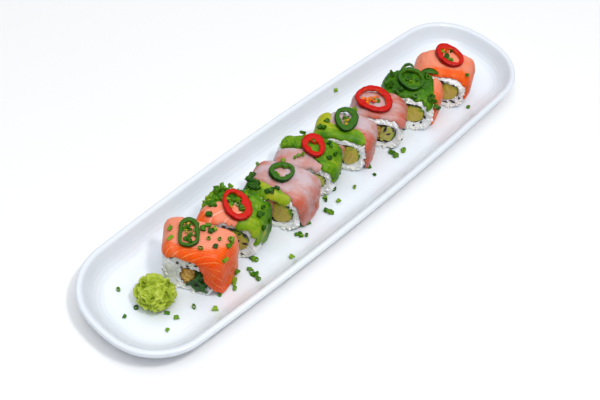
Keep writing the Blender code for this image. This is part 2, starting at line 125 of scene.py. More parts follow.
# ------------------------------------------------------------------ meshes
class Shape:
    """Points, faces and named point values, gathered for one piece."""

    def __init__(self) -> None:
        """Starts with nothing in it."""
        self.points: list[np.ndarray] = []
        self.faces: list[list[int]] = []
        self.values: list[dict[str, np.ndarray]] = []
        self.count = 0

    def add(self, points: np.ndarray, faces: np.ndarray | list, **values: object) -> None:
        """Adds a set of points and the faces between them.

        Args:
            points: The points, in millimetres.
            faces: Rows of point numbers.
            **values: A number, or one number or vector a point, by attribute name.
        """
        points = np.asarray(points, float).reshape(-1, 3)
        self.points.append(points)
        self.faces += [[corner + self.count for corner in face] for face in np.asarray(faces).tolist()]
        spread = {}
        for name, value in values.items():
            value = np.asarray(value, float)
            width = value.shape[-1] if value.ndim and value.size != len(points) else 1
            if value.ndim == 0:
                spread[name] = np.full((len(points), 1), float(value))
            else:
                spread[name] = value.reshape(len(points), width)
        self.values.append(spread)
        self.count += len(points)

    def add_grid(
        self, grid: np.ndarray, wrap_rows: bool = False, wrap_columns: bool = False, **values: object
    ) -> None:
        """Adds a grid of points with a face in each cell.

        Args:
            grid: Points as rows, columns, 3.
            wrap_rows: True if the last row joins the first.
            wrap_columns: True if the last column joins the first.
            **values: As for add.
        """
        self.add(grid, grid_faces(grid.shape[0], grid.shape[1], wrap_rows, wrap_columns), **values)

    def add_tube(self, rings: np.ndarray, **values: object) -> None:
        """Adds a closed tube through rings of points, with a fan over each end.

        Args:
            rings: Points as rings, points of a ring, 3.
            **values: As for add, one for each point of the rings.
        """
        count, around = rings.shape[:2]
        ends = np.stack([rings[0].mean(0), rings[-1].mean(0)])
        faces = grid_faces(count, around, False, True).tolist()
        low, high = count * around, count * around + 1
        last = (count - 1) * around
        for k in range(around):
            after = (k + 1) % around
            faces.append([low, after, k, k])
            faces.append([high, last + k, last + after, last + after])
        full = {}
        for name, value in values.items():
            value = np.asarray(value, float)
            if value.ndim:
                value = value.reshape(count * around, -1)
                value = np.concatenate([value, value[:1], value[-1:]])
            full[name] = value
        self.add(np.concatenate([rings.reshape(-1, 3), ends]), faces, **full)

    def build(self, name: str, finish: "Finish", slot: str, nodes: tuple[str, ...] = ()) -> bpy.types.Object:
        """Makes the piece, rides it on the platter's body and gives it its finish.

        Args:
            name: The piece's name.
            finish: What it is finished with.
            slot: The record's material slot that it stands for; not used.
            nodes: The CAD nodes that it replaces.

        Returns:
            The new object.
        """
        points = np.concatenate(self.points) * MM
        faces = [list(dict.fromkeys(face)) for face in self.faces]
        mesh = bpy.data.meshes.new(name)
        mesh.from_pydata(points.tolist(), [], faces)
        for key in self.values[0]:
            data = np.concatenate([part[key] for part in self.values])
            kind = "FLOAT" if data.shape[1] == 1 else "FLOAT_VECTOR"
            made = mesh.attributes.new(key, kind, "POINT")
            made.data.foreach_set("value" if kind == "FLOAT" else "vector", data.astype(np.float32).ravel())
        mesh.validate()
        mesh.shade_smooth()
        mesh.set_sharp_from_angle(angle=math.radians(finish.crease))
        mesh.materials.append(finish.material())
        piece = bpy.data.objects.new(name, mesh)
        bpy.context.scene.collection.objects.link(piece)
        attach(piece, "root")
        if nodes:
            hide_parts(*nodes)
        LOG.info("%s: %d points, %d faces", name, len(points), len(faces))
        return piece


def grid_faces(rows: int, columns: int, wrap_rows: bool, wrap_columns: bool) -> np.ndarray:
    """The four corners of each cell of a grid of points numbered row by row.

    Args:
        rows: Rows of points.
        columns: Columns of points.
        wrap_rows: True if the last row joins the first.
        wrap_columns: True if the last column joins the first.

    Returns:
        One row of four point numbers for each cell.
    """
    i, j = np.meshgrid(
        np.arange(rows if wrap_rows else rows - 1),
        np.arange(columns if wrap_columns else columns - 1),
        indexing="ij",
    )
    below, beside = (i + 1) % rows, (j + 1) % columns
    cells = [i * columns + j, i * columns + beside, below * columns + beside, below * columns + j]
    return np.stack([cell.ravel() for cell in cells], axis=1)


def grain_template(around: int, rings: int) -> tuple[np.ndarray, np.ndarray]:
    """A ball of radius 1 whose poles lie on the x axis.

    Args:
        around: Points round each ring.
        rings: Rings between the poles.

    Returns:
        Its points and its faces, as corners of which the last two may be the same.
    """
    points = [[-1.0, 0.0, 0.0]]
    for i in range(1, rings + 1):
        polar = math.pi * i / (rings + 1)
        for k in range(around):
            angle = TAU * k / around
            points.append(
                [-math.cos(polar), math.sin(polar) * math.cos(angle), math.sin(polar) * math.sin(angle)]
            )
    points.append([1.0, 0.0, 0.0])
    faces = []
    last = len(points) - 1
    for k in range(around):
        after = (k + 1) % around
        faces.append([0, 1 + k, 1 + after, 1 + after])
        for i in range(rings - 1):
            low, high = 1 + i * around, 1 + (i + 1) * around
            faces.append([low + k, high + k, high + after, low + after])
        start = 1 + (rings - 1) * around
        faces.append([last, start + after, start + k, start + k])
    return np.array(points), np.array(faces)


def frames_from(normals: np.ndarray, headings: np.ndarray) -> np.ndarray:
    """Rotations whose third axis is each normal and whose first is turned by each heading.

    Args:
        normals: Unit vectors.
        headings: Angles round the normals, in radians.

    Returns:
        Matrices as normals, 3, 3, with the axes as columns.
    """
    spare = np.where(np.abs(normals[:, 2:3]) < 0.9, [[0.0, 0.0, 1.0]], [[1.0, 0.0, 0.0]])
    side = unit(np.cross(spare, normals))
    other = np.cross(normals, side)
    first = side * np.cos(headings)[:, None] + other * np.sin(headings)[:, None]
    return np.stack([first, np.cross(normals, first), normals], axis=2)


# ------------------------------------------------------------------ node materials
class Recipe:
    """A node material being put together."""

    def __init__(self, name: str) -> None:
        """Starts a material with a lone Principled shader."""
        self.made = bpy.data.materials.new(name)
        self.made.use_nodes = True
        self.tree = self.made.node_tree
        self.shader = self.tree.nodes["Principled BSDF"]
        self.place = self.node("ShaderNodeTexCoord").outputs["Object"]

    def node(self, kind: str, **settings: object) -> bpy.types.Node:
        """A new node with these settings."""
        made = self.tree.nodes.new(kind)
        for name, value in settings.items():
            setattr(made, name, value)
        return made

    def put(self, value: object, socket: bpy.types.NodeSocket) -> None:
        """Links a socket, or sets a number or a colour, on another node's input."""
        if isinstance(value, bpy.types.NodeSocket):
            self.tree.links.new(value, socket)
        elif isinstance(value, (tuple, list)) and len(value) == 3 and socket.type == "RGBA":
            socket.default_value = (*value, 1.0)
        else:
            socket.default_value = value

    def value(self, name: str) -> bpy.types.NodeSocket:
        """A point value as a number."""
        return self.node("ShaderNodeAttribute", attribute_name=name).outputs["Fac"]

    def vector(self, name: str) -> bpy.types.NodeSocket:
        """A point value as a vector."""
        return self.node("ShaderNodeAttribute", attribute_name=name).outputs["Vector"]

    def part(self, vector: bpy.types.NodeSocket, axis: str) -> bpy.types.NodeSocket:
        """One of a vector's numbers."""
        made = self.node("ShaderNodeSeparateXYZ")
        self.put(vector, made.inputs[0])
        return made.outputs[axis]

    def scaled(self, vector: bpy.types.NodeSocket, size: tuple, turn: float = 0.0) -> bpy.types.NodeSocket:
        """A vector turned about z, in radians, and then scaled."""
        made = self.node("ShaderNodeMapping")
        self.put(vector, made.inputs["Vector"])
        made.inputs["Scale"].default_value = size
        made.inputs["Rotation"].default_value = (0.0, 0.0, turn)
        return made.outputs["Vector"]

    def noise(
        self, size: float, detail: float = 2.0, vector: bpy.types.NodeSocket | None = None, rough: float = 0.5
    ) -> bpy.types.NodeSocket:
        """Noise from 0 to 1 whose patches are about this size: metres for places, else the vector's."""
        made = self.node("ShaderNodeTexNoise")
        self.put(vector or self.place, made.inputs["Vector"])
        made.inputs["Scale"].default_value = 1.0 / size
        made.inputs["Detail"].default_value = detail
        made.inputs["Roughness"].default_value = rough
        return made.outputs["Fac"]

    def maths(self, operation: str, first: object, second: object = 0.0, third: object = 0.0) -> bpy.types.NodeSocket:
        """A sum of one, two or three numbers."""
        made = self.node("ShaderNodeMath", operation=operation)
        for value, socket in zip((first, second, third), made.inputs):
            self.put(value, socket)
        return made.outputs[0]

    def fit(self, value: bpy.types.NodeSocket, low: float, high: float, to: tuple = (0.0, 1.0)) -> bpy.types.NodeSocket:
        """A number brought from low..high to another range, smoothly and no further."""
        made = self.node("ShaderNodeMapRange", interpolation_type="SMOOTHSTEP")
        for number, socket in zip((value, low, high, *to), made.inputs):
            self.put(number, socket)
        return made.outputs[0]

    def ramp(self, value: bpy.types.NodeSocket, *stops: tuple[float, Colour]) -> bpy.types.NodeSocket:
        """Colours along a number, as (place, colour)."""
        made = self.node("ShaderNodeValToRGB")
        self.put(value, made.inputs[0])
        elements = made.color_ramp.elements
        while len(elements) < len(stops):
            elements.new(0.5)
        for element, (place, colour) in zip(elements, stops):
            element.position = place
            element.color = (*colour, 1.0)
        return made.outputs[0]

    def mix(self, share: object, low: object, high: object, blend: str = "MIX") -> bpy.types.NodeSocket:
        """The colour this share of the way from low to high."""
        made = self.node("ShaderNodeMix", data_type="RGBA", blend_type=blend)
        colours = [socket for socket in made.inputs if socket.type == "RGBA"]
        self.put(share, made.inputs[0])
        self.put(low, colours[0])
        self.put(high, colours[1])
        return next(socket for socket in made.outputs if socket.type == "RGBA")

    def bump(self, height: bpy.types.NodeSocket, strength: float, distance: float) -> None:
        """Adds relief of this depth, in metres, over any that is there already."""
        made = self.node("ShaderNodeBump")
        made.inputs["Strength"].default_value = strength
        made.inputs["Distance"].default_value = distance
        self.put(height, made.inputs["Height"])
        normal = self.shader.inputs["Normal"]
        if normal.is_linked:
            self.put(normal.links[0].from_socket, made.inputs["Normal"])
        self.put(made.outputs[0], normal)

    def done(self, **inputs: object) -> bpy.types.Material:
        """Sets the shader's inputs, named with _ for a space, and gives the material."""
        for name, value in inputs.items():
            self.put(value, self.shader.inputs[name.replace("_", " ")])
        return self.made


@dataclass(frozen=True)
class Finish:
    """What a surface is made of. Each kind builds its own node material once."""

    name: str = "finish"
    crease: float = 50.0

    def material(self) -> bpy.types.Material:
        """The finish's material, made on first use."""
        return bpy.data.materials.get(self.name) or self.mixed(Recipe(self.name))

    def mixed(self, recipe: Recipe) -> bpy.types.Material:
        """Puts the nodes together."""
        raise NotImplementedError


@dataclass(frozen=True)
class Glaze(Finish):
    """White porcelain under a clear glaze."""

    name: str = "white_glaze"
    body: Colour = (0.79, 0.83, 0.89)
    cool: Colour = (0.76, 0.805, 0.875)

    def mixed(self, recipe: Recipe) -> bpy.types.Material:
        """Faint cool clouds, a slight orange peel and small changes of gloss."""
        colour = recipe.mix(recipe.fit(recipe.noise(0.09), 0.35, 0.65), self.body, self.cool)
        rough = recipe.fit(recipe.noise(0.02, 3.0), 0.3, 0.7, (0.16, 0.24))
        recipe.bump(recipe.noise(0.004, 2.0), 0.08, 0.0002)
        return recipe.done(Base_Color=colour, Roughness=rough, Coat_Weight=0.25, Coat_Roughness=0.08)


@dataclass(frozen=True)
class CookedRice(Finish):
    """Moist cooked rice grains."""

    name: str = "cooked_rice"
    crease: float = 80.0
    light: Colour = (0.96, 0.95, 0.95)
    grey: Colour = (0.88, 0.88, 0.86)
    damp: Colour = (0.76, 0.77, 0.60)

    def mixed(self, recipe: Recipe) -> bpy.types.Material:
        """Grains of different whiteness, greyer and greener in the damp patches and low down."""
        tone = recipe.maths("ADD", recipe.value("tone"), recipe.noise(0.0016, 2.0))
        colour = recipe.mix(recipe.fit(tone, 0.55, 1.35), self.grey, self.light)
        patch = recipe.fit(recipe.noise(0.011, 3.0), 0.48, 0.68, (0.0, 0.40))
        colour = recipe.mix(patch, colour, self.damp)
        colour = recipe.mix(recipe.value("damp"), colour, self.damp)
        recipe.bump(recipe.noise(0.0009, 2.0), 0.12, 0.0002)
        return recipe.done(
            Base_Color=colour,
            Roughness=recipe.fit(recipe.noise(0.002), 0.3, 0.7, (0.28, 0.5)),
            Subsurface_Weight=0.25,
            Subsurface_Radius=(0.8, 0.7, 0.5),
            Subsurface_Scale=0.0015,
        )


@dataclass(frozen=True)
class Seaweed(Finish):
    """The nori sheet rolled round the fillings."""

    name: str = "nori_sheet"
    dark: Colour = (0.006, 0.010, 0.007)
    green: Colour = (0.020, 0.034, 0.016)

    def mixed(self, recipe: Recipe) -> bpy.types.Material:
        """Nearly black, mottled green and finely wrinkled."""
        mottled = recipe.noise(0.0022, 4.0, rough=0.7)
        recipe.bump(mottled, 0.6, 0.0004)
        return recipe.done(
            Base_Color=recipe.mix(recipe.fit(mottled, 0.35, 0.7), self.dark, self.green),
            Roughness=recipe.fit(mottled, 0.3, 0.7, (0.35, 0.6)),
        )


@dataclass(frozen=True)
class Salmon(Finish):
    """Raw salmon with pale fat lines between its flakes.

    The sheet vector runs along the drape and across it in millimetres. The tone goes from
    deep orange at 0 to pale pink at 1. The pink on the upward-facing tops is partly the
    flesh's own paler tint and partly painted sheen of the overhead light.
    """

    name: str = "salmon_flesh"
    deep: Colour = (0.84, 0.075, 0.002)
    orange: Colour = (0.88, 0.110, 0.005)
    # The flesh's paler tint together with painted sheen of the overhead light.
    pink: Colour = (0.88, 0.265, 0.155)
    fat: Colour = (0.95, 0.60, 0.46)
    warm_fat: Colour = (0.95, 0.36, 0.10)
    line_gap: float = 9.0
    lean: float = 0.30
    curve: float = 0.012

    def mixed(self, recipe: Recipe) -> bpy.types.Material:
        """Arcs of fat across the strip, a fine grain along the flakes and a wet film."""
        sheet = recipe.vector("sheet")
        along, across = recipe.part(sheet, "X"), recipe.part(sheet, "Y")
        drift = recipe.noise(34.0, 0.0, sheet)
        bend = recipe.maths("MULTIPLY", recipe.maths("MULTIPLY", across, across), self.curve)
        path = recipe.maths("ADD", recipe.maths("MULTIPLY_ADD", across, self.lean, along), bend)
        path = recipe.maths("MULTIPLY_ADD", drift, 6.0, path)
        wave = recipe.maths("PINGPONG", path, self.line_gap / 2)
        broken = recipe.fit(recipe.noise(5.0, 2.0, sheet), 0.36, 0.62, (0.4, 1.0))
        line = recipe.maths("MULTIPLY", recipe.fit(wave, 0.85, 0.28), broken)
        tone = recipe.maths("ADD", recipe.value("tone"), recipe.fit(recipe.noise(6.0, 3.0, sheet), 0.3, 0.7, (-0.18, 0.18)))
        # Painted sheen: a high tone turns the flesh pink and the fat lines pale, over the flesh's own paler tint there.
        flesh = recipe.ramp(tone, (0.0, self.deep), (0.35, self.orange), (0.85, self.pink))
        grain = recipe.noise(2.4, 2.0, recipe.scaled(sheet, (1.6, 0.35, 1.0), 0.25))
        flesh = recipe.mix(recipe.fit(grain, 0.45, 0.75, (0.0, 0.06)), flesh, self.fat)
        pale = recipe.mix(recipe.fit(tone, 0.2, 0.8), self.warm_fat, self.fat)
        colour = recipe.mix(recipe.maths("MULTIPLY", line, 0.7), flesh, pale)
        recipe.bump(recipe.maths("MULTIPLY", line, -1.0), 0.35, 0.0005)
        recipe.bump(grain, 0.25, 0.0003)
        return recipe.done(
            Base_Color=colour,
            Roughness=recipe.fit(recipe.noise(0.003, 3.0), 0.3, 0.7, (0.26, 0.42)),
            Subsurface_Weight=0.06,
            Subsurface_Radius=(1.0, 0.30, 0.10),
            Subsurface_Scale=0.0014,
            Specular_IOR_Level=0.10,
        )


@dataclass(frozen=True)
class WhiteFish(Finish):
    """Raw white fish, lilac where it is thick and pink to red along the blood line.

    The tone goes from lilac white at 0 to red pink at 1.
    """

    name: str = "white_fish_flesh"
    lilac: Colour = (0.57, 0.43, 0.46)
    rose: Colour = (0.56, 0.28, 0.25)
    red: Colour = (0.55, 0.12, 0.07)
    pale: Colour = (0.70, 0.56, 0.60)

    def mixed(self, recipe: Recipe) -> bpy.types.Material:
        """Soft cloudy patches, faint streaks along the strip and a wet film."""
        sheet = recipe.vector("sheet")
        cloud = recipe.noise(7.0, 3.0, recipe.scaled(sheet, (0.7, 1.0, 1.0)))
        tone = recipe.maths("ADD", recipe.value("tone"), recipe.fit(cloud, 0.3, 0.7, (-0.28, 0.28)))
        flesh = recipe.ramp(tone, (0.05, self.lilac), (0.45, self.rose), (0.95, self.red))
        streak = recipe.noise(2.2, 3.0, recipe.scaled(sheet, (0.25, 1.5, 1.0), 0.2))
        colour = recipe.mix(recipe.fit(streak, 0.5, 0.78, (0.0, 0.35)), flesh, self.pale)
        recipe.bump(streak, 0.25, 0.0004)
        return recipe.done(
            Base_Color=colour,
            Roughness=recipe.fit(recipe.noise(0.003, 3.0), 0.3, 0.7, (0.24, 0.42)),
            Subsurface_Weight=0.22,
            Subsurface_Radius=(1.0, 0.5, 0.4),
            Subsurface_Scale=0.0018,
            Specular_IOR_Level=0.16,
        )


@dataclass(frozen=True)
class Avocado(Finish):
    """Ripe avocado. The tone goes from the dark green under the skin at 0 to yellow at 1."""

    name: str = "avocado_flesh"
    dark: Colour = (0.012, 0.075, 0.002)
    green: Colour = (0.055, 0.190, 0.004)
    lime: Colour = (0.170, 0.330, 0.008)
    yellow: Colour = (0.420, 0.440, 0.020)

    def mixed(self, recipe: Recipe) -> bpy.types.Material:
        """Green to yellow with soft knife streaks, small bruises and an oily film."""
        sheet = recipe.vector("sheet")
        streak = recipe.noise(2.6, 3.0, recipe.scaled(sheet, (0.3, 1.3, 1.0), 0.3))
        patch = recipe.noise(7.5, 3.0, sheet)
        uneven = recipe.maths("ADD", recipe.fit(streak, 0.3, 0.7, (-0.10, 0.10)), recipe.fit(patch, 0.3, 0.7, (-0.14, 0.14)))
        tone = recipe.maths("ADD", recipe.value("tone"), uneven)
        colour = recipe.ramp(tone, (0.0, self.dark), (0.35, self.green), (0.66, self.lime), (1.0, self.yellow))
        recipe.bump(streak, 0.3, 0.0004)
        return recipe.done(
            Base_Color=colour,
            Roughness=recipe.fit(recipe.noise(0.003, 3.0), 0.3, 0.7, (0.26, 0.46)),
            Subsurface_Weight=0.10,
            Subsurface_Radius=(0.5, 1.0, 0.2),
            Subsurface_Scale=0.0012,
            Specular_IOR_Level=0.14,
        )


@dataclass(frozen=True)
class Filling(Finish):
    """A filling seen at the cut: colours from its middle to its rim.

    The cut vector holds the share of the way out to the rim, the share of a turn and the
    share of the thickness.
    """

    name: str = "filling"
    heart: Colour = (0.60, 0.43, 0.09)
    flesh: Colour = (0.54, 0.44, 0.05)
    rim: Colour = (0.10, 0.27, 0.004)
    fleck: Colour = (0.66, 0.50, 0.16)
    rim_start: float = 0.70
    streak: tuple = (700.0, 700.0, 160.0)
    fleck_share: float = 0.45
    bump_depth: float = 0.0004

    def mixed(self, recipe: Recipe) -> bpy.types.Material:
        """Rings of colour blurred by noise, flecks, and a finely torn surface."""
        cut = recipe.vector("cut")
        blur = recipe.fit(recipe.noise(0.005, 3.0), 0.3, 0.7, (-0.16, 0.16))
        out = recipe.maths("ADD", recipe.part(cut, "X"), blur)
        colour = recipe.ramp(out, (0.0, self.heart), (self.rim_start, self.flesh), (0.98, self.rim))
        torn = recipe.noise(1.0, 3.0, recipe.scaled(recipe.place, self.streak, 0.5))
        colour = recipe.mix(recipe.fit(torn, 0.5, 0.75, (0.0, self.fleck_share)), colour, self.fleck)
        recipe.bump(torn, 0.5, self.bump_depth)
        return recipe.done(
            Base_Color=colour,
            Roughness=recipe.fit(torn, 0.3, 0.7, (0.32, 0.55)),
            Specular_IOR_Level=0.18,
            Subsurface_Weight=0.12,
            Subsurface_Radius=(1.0, 0.8, 0.4),
            Subsurface_Scale=0.001,
        )


@dataclass(frozen=True)
class Chilli(Finish):
    """A cut chilli. The tone is 0 on the skin, 0.5 in the flesh, 0.8 on membrane, 1 on seeds."""

    name: str = "chilli"
    crease: float = 60.0
    skin: Colour = (0.34, 0.002, 0.001)
    flesh: Colour = (0.58, 0.006, 0.001)
    membrane: Colour = (0.86, 0.12, 0.008)
    seed: Colour = (0.84, 0.26, 0.03)

    def mixed(self, recipe: Recipe) -> bpy.types.Material:
        """Shiny skin that pales into wet flesh, membrane and seeds."""
        patch = recipe.fit(recipe.noise(0.003, 3.0), 0.3, 0.7, (-0.07, 0.07))
        tone = recipe.maths("ADD", recipe.value("tone"), patch)
        colour = recipe.ramp(
            tone, (0.12, self.skin), (0.42, self.flesh), (0.62, self.flesh), (0.80, self.membrane), (0.97, self.seed)
        )
        recipe.bump(recipe.noise(0.0012, 2.0), 0.15, 0.0002)
        return recipe.done(
            Base_Color=colour,
            Roughness=recipe.fit(tone, 0.1, 0.7, (0.18, 0.30)),
            Specular_IOR_Level=0.18,
            Subsurface_Weight=0.06,
            Subsurface_Radius=(1.0, 0.4, 0.2),
            Subsurface_Scale=0.001,
        )


@dataclass(frozen=True)
class Herb(Finish):
    """Chopped chive or leaf. The tone goes from the darkest bits at 0 to the freshest at 1."""

    name: str = "chopped_chive"
    crease: float = 40.0
    dark: Colour = (0.010, 0.062, 0.002)
    green: Colour = (0.060, 0.205, 0.005)
    fresh: Colour = (0.210, 0.370, 0.012)

    def mixed(self, recipe: Recipe) -> bpy.types.Material:
        """Each bit has its own green, with fine ribs along it."""
        uneven = recipe.fit(recipe.noise(0.0013, 2.0), 0.3, 0.7, (-0.14, 0.14))
        tone = recipe.maths("ADD", recipe.value("tone"), uneven)
        colour = recipe.ramp(tone, (0.0, self.dark), (0.5, self.green), (1.0, self.fresh))
        recipe.bump(recipe.noise(0.0006, 2.0), 0.3, 0.0002)
        return recipe.done(Base_Color=colour, Roughness=recipe.fit(uneven, -0.1, 0.1, (0.3, 0.5)), Specular_IOR_Level=0.2)


@dataclass(frozen=True)
class Paste(Finish):
    """Wasabi paste. The fold is 0 in its creases and 1 on its crests; it paints shade into the creases and light onto
    the crests.
    """

    name: str = "wasabi_paste"
    crease: float = 80.0
    # Painted shade for the creases and painted light for the crests, with the body colour between.
    crease_colour: Colour = (0.120, 0.180, 0.004)
    body: Colour = (0.310, 0.410, 0.022)
    crest: Colour = (0.500, 0.600, 0.085)

    def mixed(self, recipe: Recipe) -> bpy.types.Material:
        """Painted shade darkens the folds and painted light brightens the crests; finely grated all over."""
        grated = recipe.noise(0.0008, 3.0)
        fold = recipe.maths("ADD", recipe.value("fold"), recipe.fit(grated, 0.3, 0.7, (-0.12, 0.12)))
        colour = recipe.ramp(fold, (0.0, self.crease_colour), (0.45, self.body), (1.0, self.crest))
        recipe.bump(grated, 0.5, 0.0003)
        return recipe.done(
            Base_Color=colour,
            Roughness=recipe.fit(grated, 0.3, 0.7, (0.5, 0.7)),
            Specular_IOR_Level=0.2,
            Subsurface_Weight=0.15,
            Subsurface_Radius=(0.6, 1.0, 0.3),
            Subsurface_Scale=0.001,
        )


@dataclass(frozen=True)
class Speck(Finish):
    """Small dark bits: sesame and scraps of nori. The tone lightens them."""

    name: str = "dark_speck"
    black: Colour = (0.010, 0.009, 0.010)
    brown: Colour = (0.085, 0.040, 0.020)

    def mixed(self, recipe: Recipe) -> bpy.types.Material:
        """Black to brown, with a fine grain."""
        grain = recipe.noise(0.0007, 2.0)
        tone = recipe.maths("MULTIPLY", recipe.value("tone"), recipe.fit(grain, 0.2, 0.8, (0.6, 1.3)))
        recipe.bump(grain, 0.3, 0.0002)
        return recipe.done(
            Base_Color=recipe.mix(tone, self.black, self.brown), Roughness=recipe.fit(grain, 0.3, 0.7, (0.3, 0.5))
        )


@dataclass(frozen=True)
class Backdrop(Finish):
    """The pale table under the platter."""

    name: str = "pale_table"
    shade: Colour = (0.90, 0.90, 0.91)
    light: Colour = (0.93, 0.93, 0.93)

    def mixed(self, recipe: Recipe) -> bpy.types.Material:
        """Plain, with the faintest clouding."""
        colour = recipe.mix(recipe.noise(0.4), self.shade, self.light)
        return recipe.done(Base_Color=colour, Roughness=0.9)


# ------------------------------------------------------------------ one slice's form
@dataclass
class SliceForm:
    """The measures of one slice, and the surface that its pieces follow.

    Args:
        number: Which slice, counted from the wasabi.
        turn: Its turn about Z, in degrees.
        thick: Thickness.
        wide: Width at its near and far faces.
        tall: Height at its near and far faces, topping included.
        drift: How far the far face lies to the right.
        square: How square its section is, with 2 an ellipse.
        flare: How far its hanging topping spreads.
        core: Width, height, place to the right and height of the middle of its core, as shares.
        meet: Where its two fillings meet, as a share of the way to the core's right.
    """

    number: int
    turn: float
    thick: float
    wide: tuple[float, float]
    tall: tuple[float, float]
    drift: float
    square: float
    flare: float
    core: tuple[float, float, float, float]
    meet: float
    topping: float = 2.3
    lift: float = 1.0
    end_rounding: float = 0.015
    end_power: int = 6
    underside_square: float = 3.8
    core_square: float = 2.6
    rice_rows: tuple = ((0.0, 0.94), (0.08, 1.0), (0.5, 1.0), (0.92, 1.0), (1.0, 0.94))
    rice_segments: int = 20
    origin: np.ndarray = field(default_factory=lambda: np.zeros(3))

    def seat(self) -> None:
        """Finds where the slice stands from its rice in the frame."""
        low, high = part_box(f"rice_{self.number}")
        angles = TAU * np.arange(self.rice_segments) / self.rice_segments
        own = self.turned(np.concatenate([self.rice(angles, share, size) for share, size in self.rice_rows]))
        middle = (own.min(0) + own.max(0)) / 2
        centre = np.array((low + high) / 2) / MM
        self.origin = np.array([*(centre - middle)[:2], low.z / MM])

    def turned(self, points: np.ndarray) -> np.ndarray:
        """Directions or points turned from the slice's frame to the platter's."""
        angle = math.radians(self.turn)
        cos, sin = math.cos(angle), math.sin(angle)
        return points @ np.array([[cos, sin, 0.0], [-sin, cos, 0.0], [0.0, 0.0, 1.0]])

    def place(self, points: np.ndarray) -> np.ndarray:
        """Points of the slice's frame in the platter's."""
        return self.turned(np.asarray(points, float)) + self.origin

    def size_at(self, share: np.ndarray) -> tuple[np.ndarray, np.ndarray, np.ndarray]:
        """Width, height and middle across the slice at a share of its thickness."""
        inside = np.clip(share, 0.0, 1.0)
        rounding = 1 - self.end_rounding * (2 * inside - 1) ** self.end_power
        width = (self.wide[0] + (self.wide[1] - self.wide[0]) * share) * rounding
        height = (self.tall[0] + (self.tall[1] - self.tall[0]) * share) * rounding
        return width, height, -self.drift * share

    def rice(self, angle: np.ndarray, share: np.ndarray, size: np.ndarray) -> np.ndarray:
        """A point of the rice: angle 0 is its right side and a quarter turn its top.

        Args:
            angle: Angle round the section, in radians.
            share: Share of the thickness.
            size: 1 for the outer wall, less to come in from it.

        Returns:
            The points in the slice's frame.
        """
        width, height, middle = self.size_at(share)
        half = (width / 2 - self.topping - self.lift) * size
        tall = (height - self.topping - self.lift) / 2
        power = 2 / np.where(np.sin(angle) >= 0, self.square, self.underside_square)
        across = half * signed_power(np.cos(angle), power)
        up = tall + tall * size * signed_power(np.sin(angle), power)
        return np.stack(np.broadcast_arrays(self.thick * share, middle - across, up), axis=-1)

    def skin(self, angle: np.ndarray, run: np.ndarray, lift: np.ndarray, bend: float = 2.2) -> np.ndarray:
        """A point off the rice all the way round it, bending down over the rims of its cut faces.

        Args:
            angle: Angle round the section, as for rice.
            run: Distance along the surface from the near face, below 0 once over its rim.
            lift: Distance off the rice.
            bend: Radius of the rims.

        Returns:
            The points in the slice's frame.
        """
        angle, run, lift = np.broadcast_arrays(angle, run, lift)
        x, off = self.over_rim(run, lift, bend)
        width, height, middle = self.size_at(x / self.thick)
        half = width / 2 - self.topping - self.lift
        tall = (height - self.topping - self.lift) / 2
        above = np.sin(angle) >= 0
        power = 2 / np.where(above, self.square, self.underside_square)
        across = (half + off) * signed_power(np.cos(angle), power)
        up = tall + (tall + np.where(above, off, np.minimum(off, 0.0))) * signed_power(np.sin(angle), power)
        return np.stack([x, middle - across, up], axis=-1)

    def over_rim(self, run: np.ndarray, lift: np.ndarray, bend: float) -> tuple[np.ndarray, np.ndarray]:
        """Where something laid along the slice comes to once it bends over a rim.

        Args:
            run: Distance along the surface from the near face.
            lift: Distance off the rice.
            bend: Radius of the rims.

        Returns:
            The distance from the near face, and the distance out from the rice's wall.
        """
        to_far = run > self.thick / 2
        edge = np.where(to_far, self.thick - run, run)
        turn = np.clip((bend - edge) / bend, 0.0, math.pi / 2)
        down = np.maximum((bend - edge) - bend * math.pi / 2, 0.0)
        x = np.where(edge < bend, bend - (bend + lift) * np.sin(turn), edge)
        off = np.where(edge < bend, (bend + lift) * np.cos(turn) - bend - down, lift)
        return np.where(to_far, self.thick - x, x), off

    def core_edge(self, angle: np.ndarray, share: np.ndarray, inset: float) -> np.ndarray:
        """A point of the rolled-in core's outline, brought in by an inset."""
        wide, tall, right, up = self.core
        width, height, middle = self.size_at(share)
        half = wide * (width / 2 - self.topping) - inset
        half_tall = tall * (height - self.topping) / 2 - inset
        across = half * signed_power(np.cos(angle), 2 / self.core_square)
        rise = half_tall * signed_power(np.sin(angle), 2 / self.core_square)
        left = middle - right * width / 2 - across
        return np.stack(np.broadcast_arrays(self.thick * share, left, up * (height - self.topping) + rise), axis=-1)

    def wall(self, way: np.ndarray, share: np.ndarray, lift: np.ndarray) -> np.ndarray:
        """A point lifted off the rice.

        Args:
            way: 0 in the middle of the right side, 0.5 on top, 1 in the middle of the left side;
                below 0 and above 1 it hangs straight down to the floor at -1 and 2.
            share: Share of the thickness.
            lift: Distance off the rice.

        Returns:
            The points in the slice's frame.
        """
        way, share, lift = np.broadcast_arrays(way, share, lift)
        width, height, middle = self.size_at(share)
        half = width / 2 - self.topping - self.lift
        tall = (height - self.topping - self.lift) / 2
        angle = math.pi * np.clip(way, 0.0, 1.0)
        over_across = (half + lift) * signed_power(np.cos(angle), 2 / self.square)
        over_up = tall + (tall + lift) * signed_power(np.sin(angle), 2 / self.square)
        fall = np.where(way < 0, -way, way - 1)
        side = np.where(way < 0, 1.0, -1.0)
        hang_across = (half + lift + self.flare * (1 - share) * fall**2) * side
        hangs = (way < 0) | (way > 1)
        across = np.where(hangs, hang_across, over_across)
        up = np.where(hangs, tall * (1 - fall), over_up)
        return np.stack([self.thick * share, middle - across, up], axis=-1)

    def laid(self, way: np.ndarray, run: np.ndarray, lift: np.ndarray, bend: float = 1.5) -> np.ndarray:
        """A point of something laid over the slice that bends down over its cut faces.

        Args:
            way: Way round the slice, as for wall.
            run: Distance along the surface from the near face, below 0 once over its rim.
            lift: Distance off the rice.
            bend: Radius of the rice's rim.

        Returns:
            The points in the slice's frame.
        """
        x, off = self.over_rim(run, lift, bend)
        return self.wall(way, x / self.thick, off)

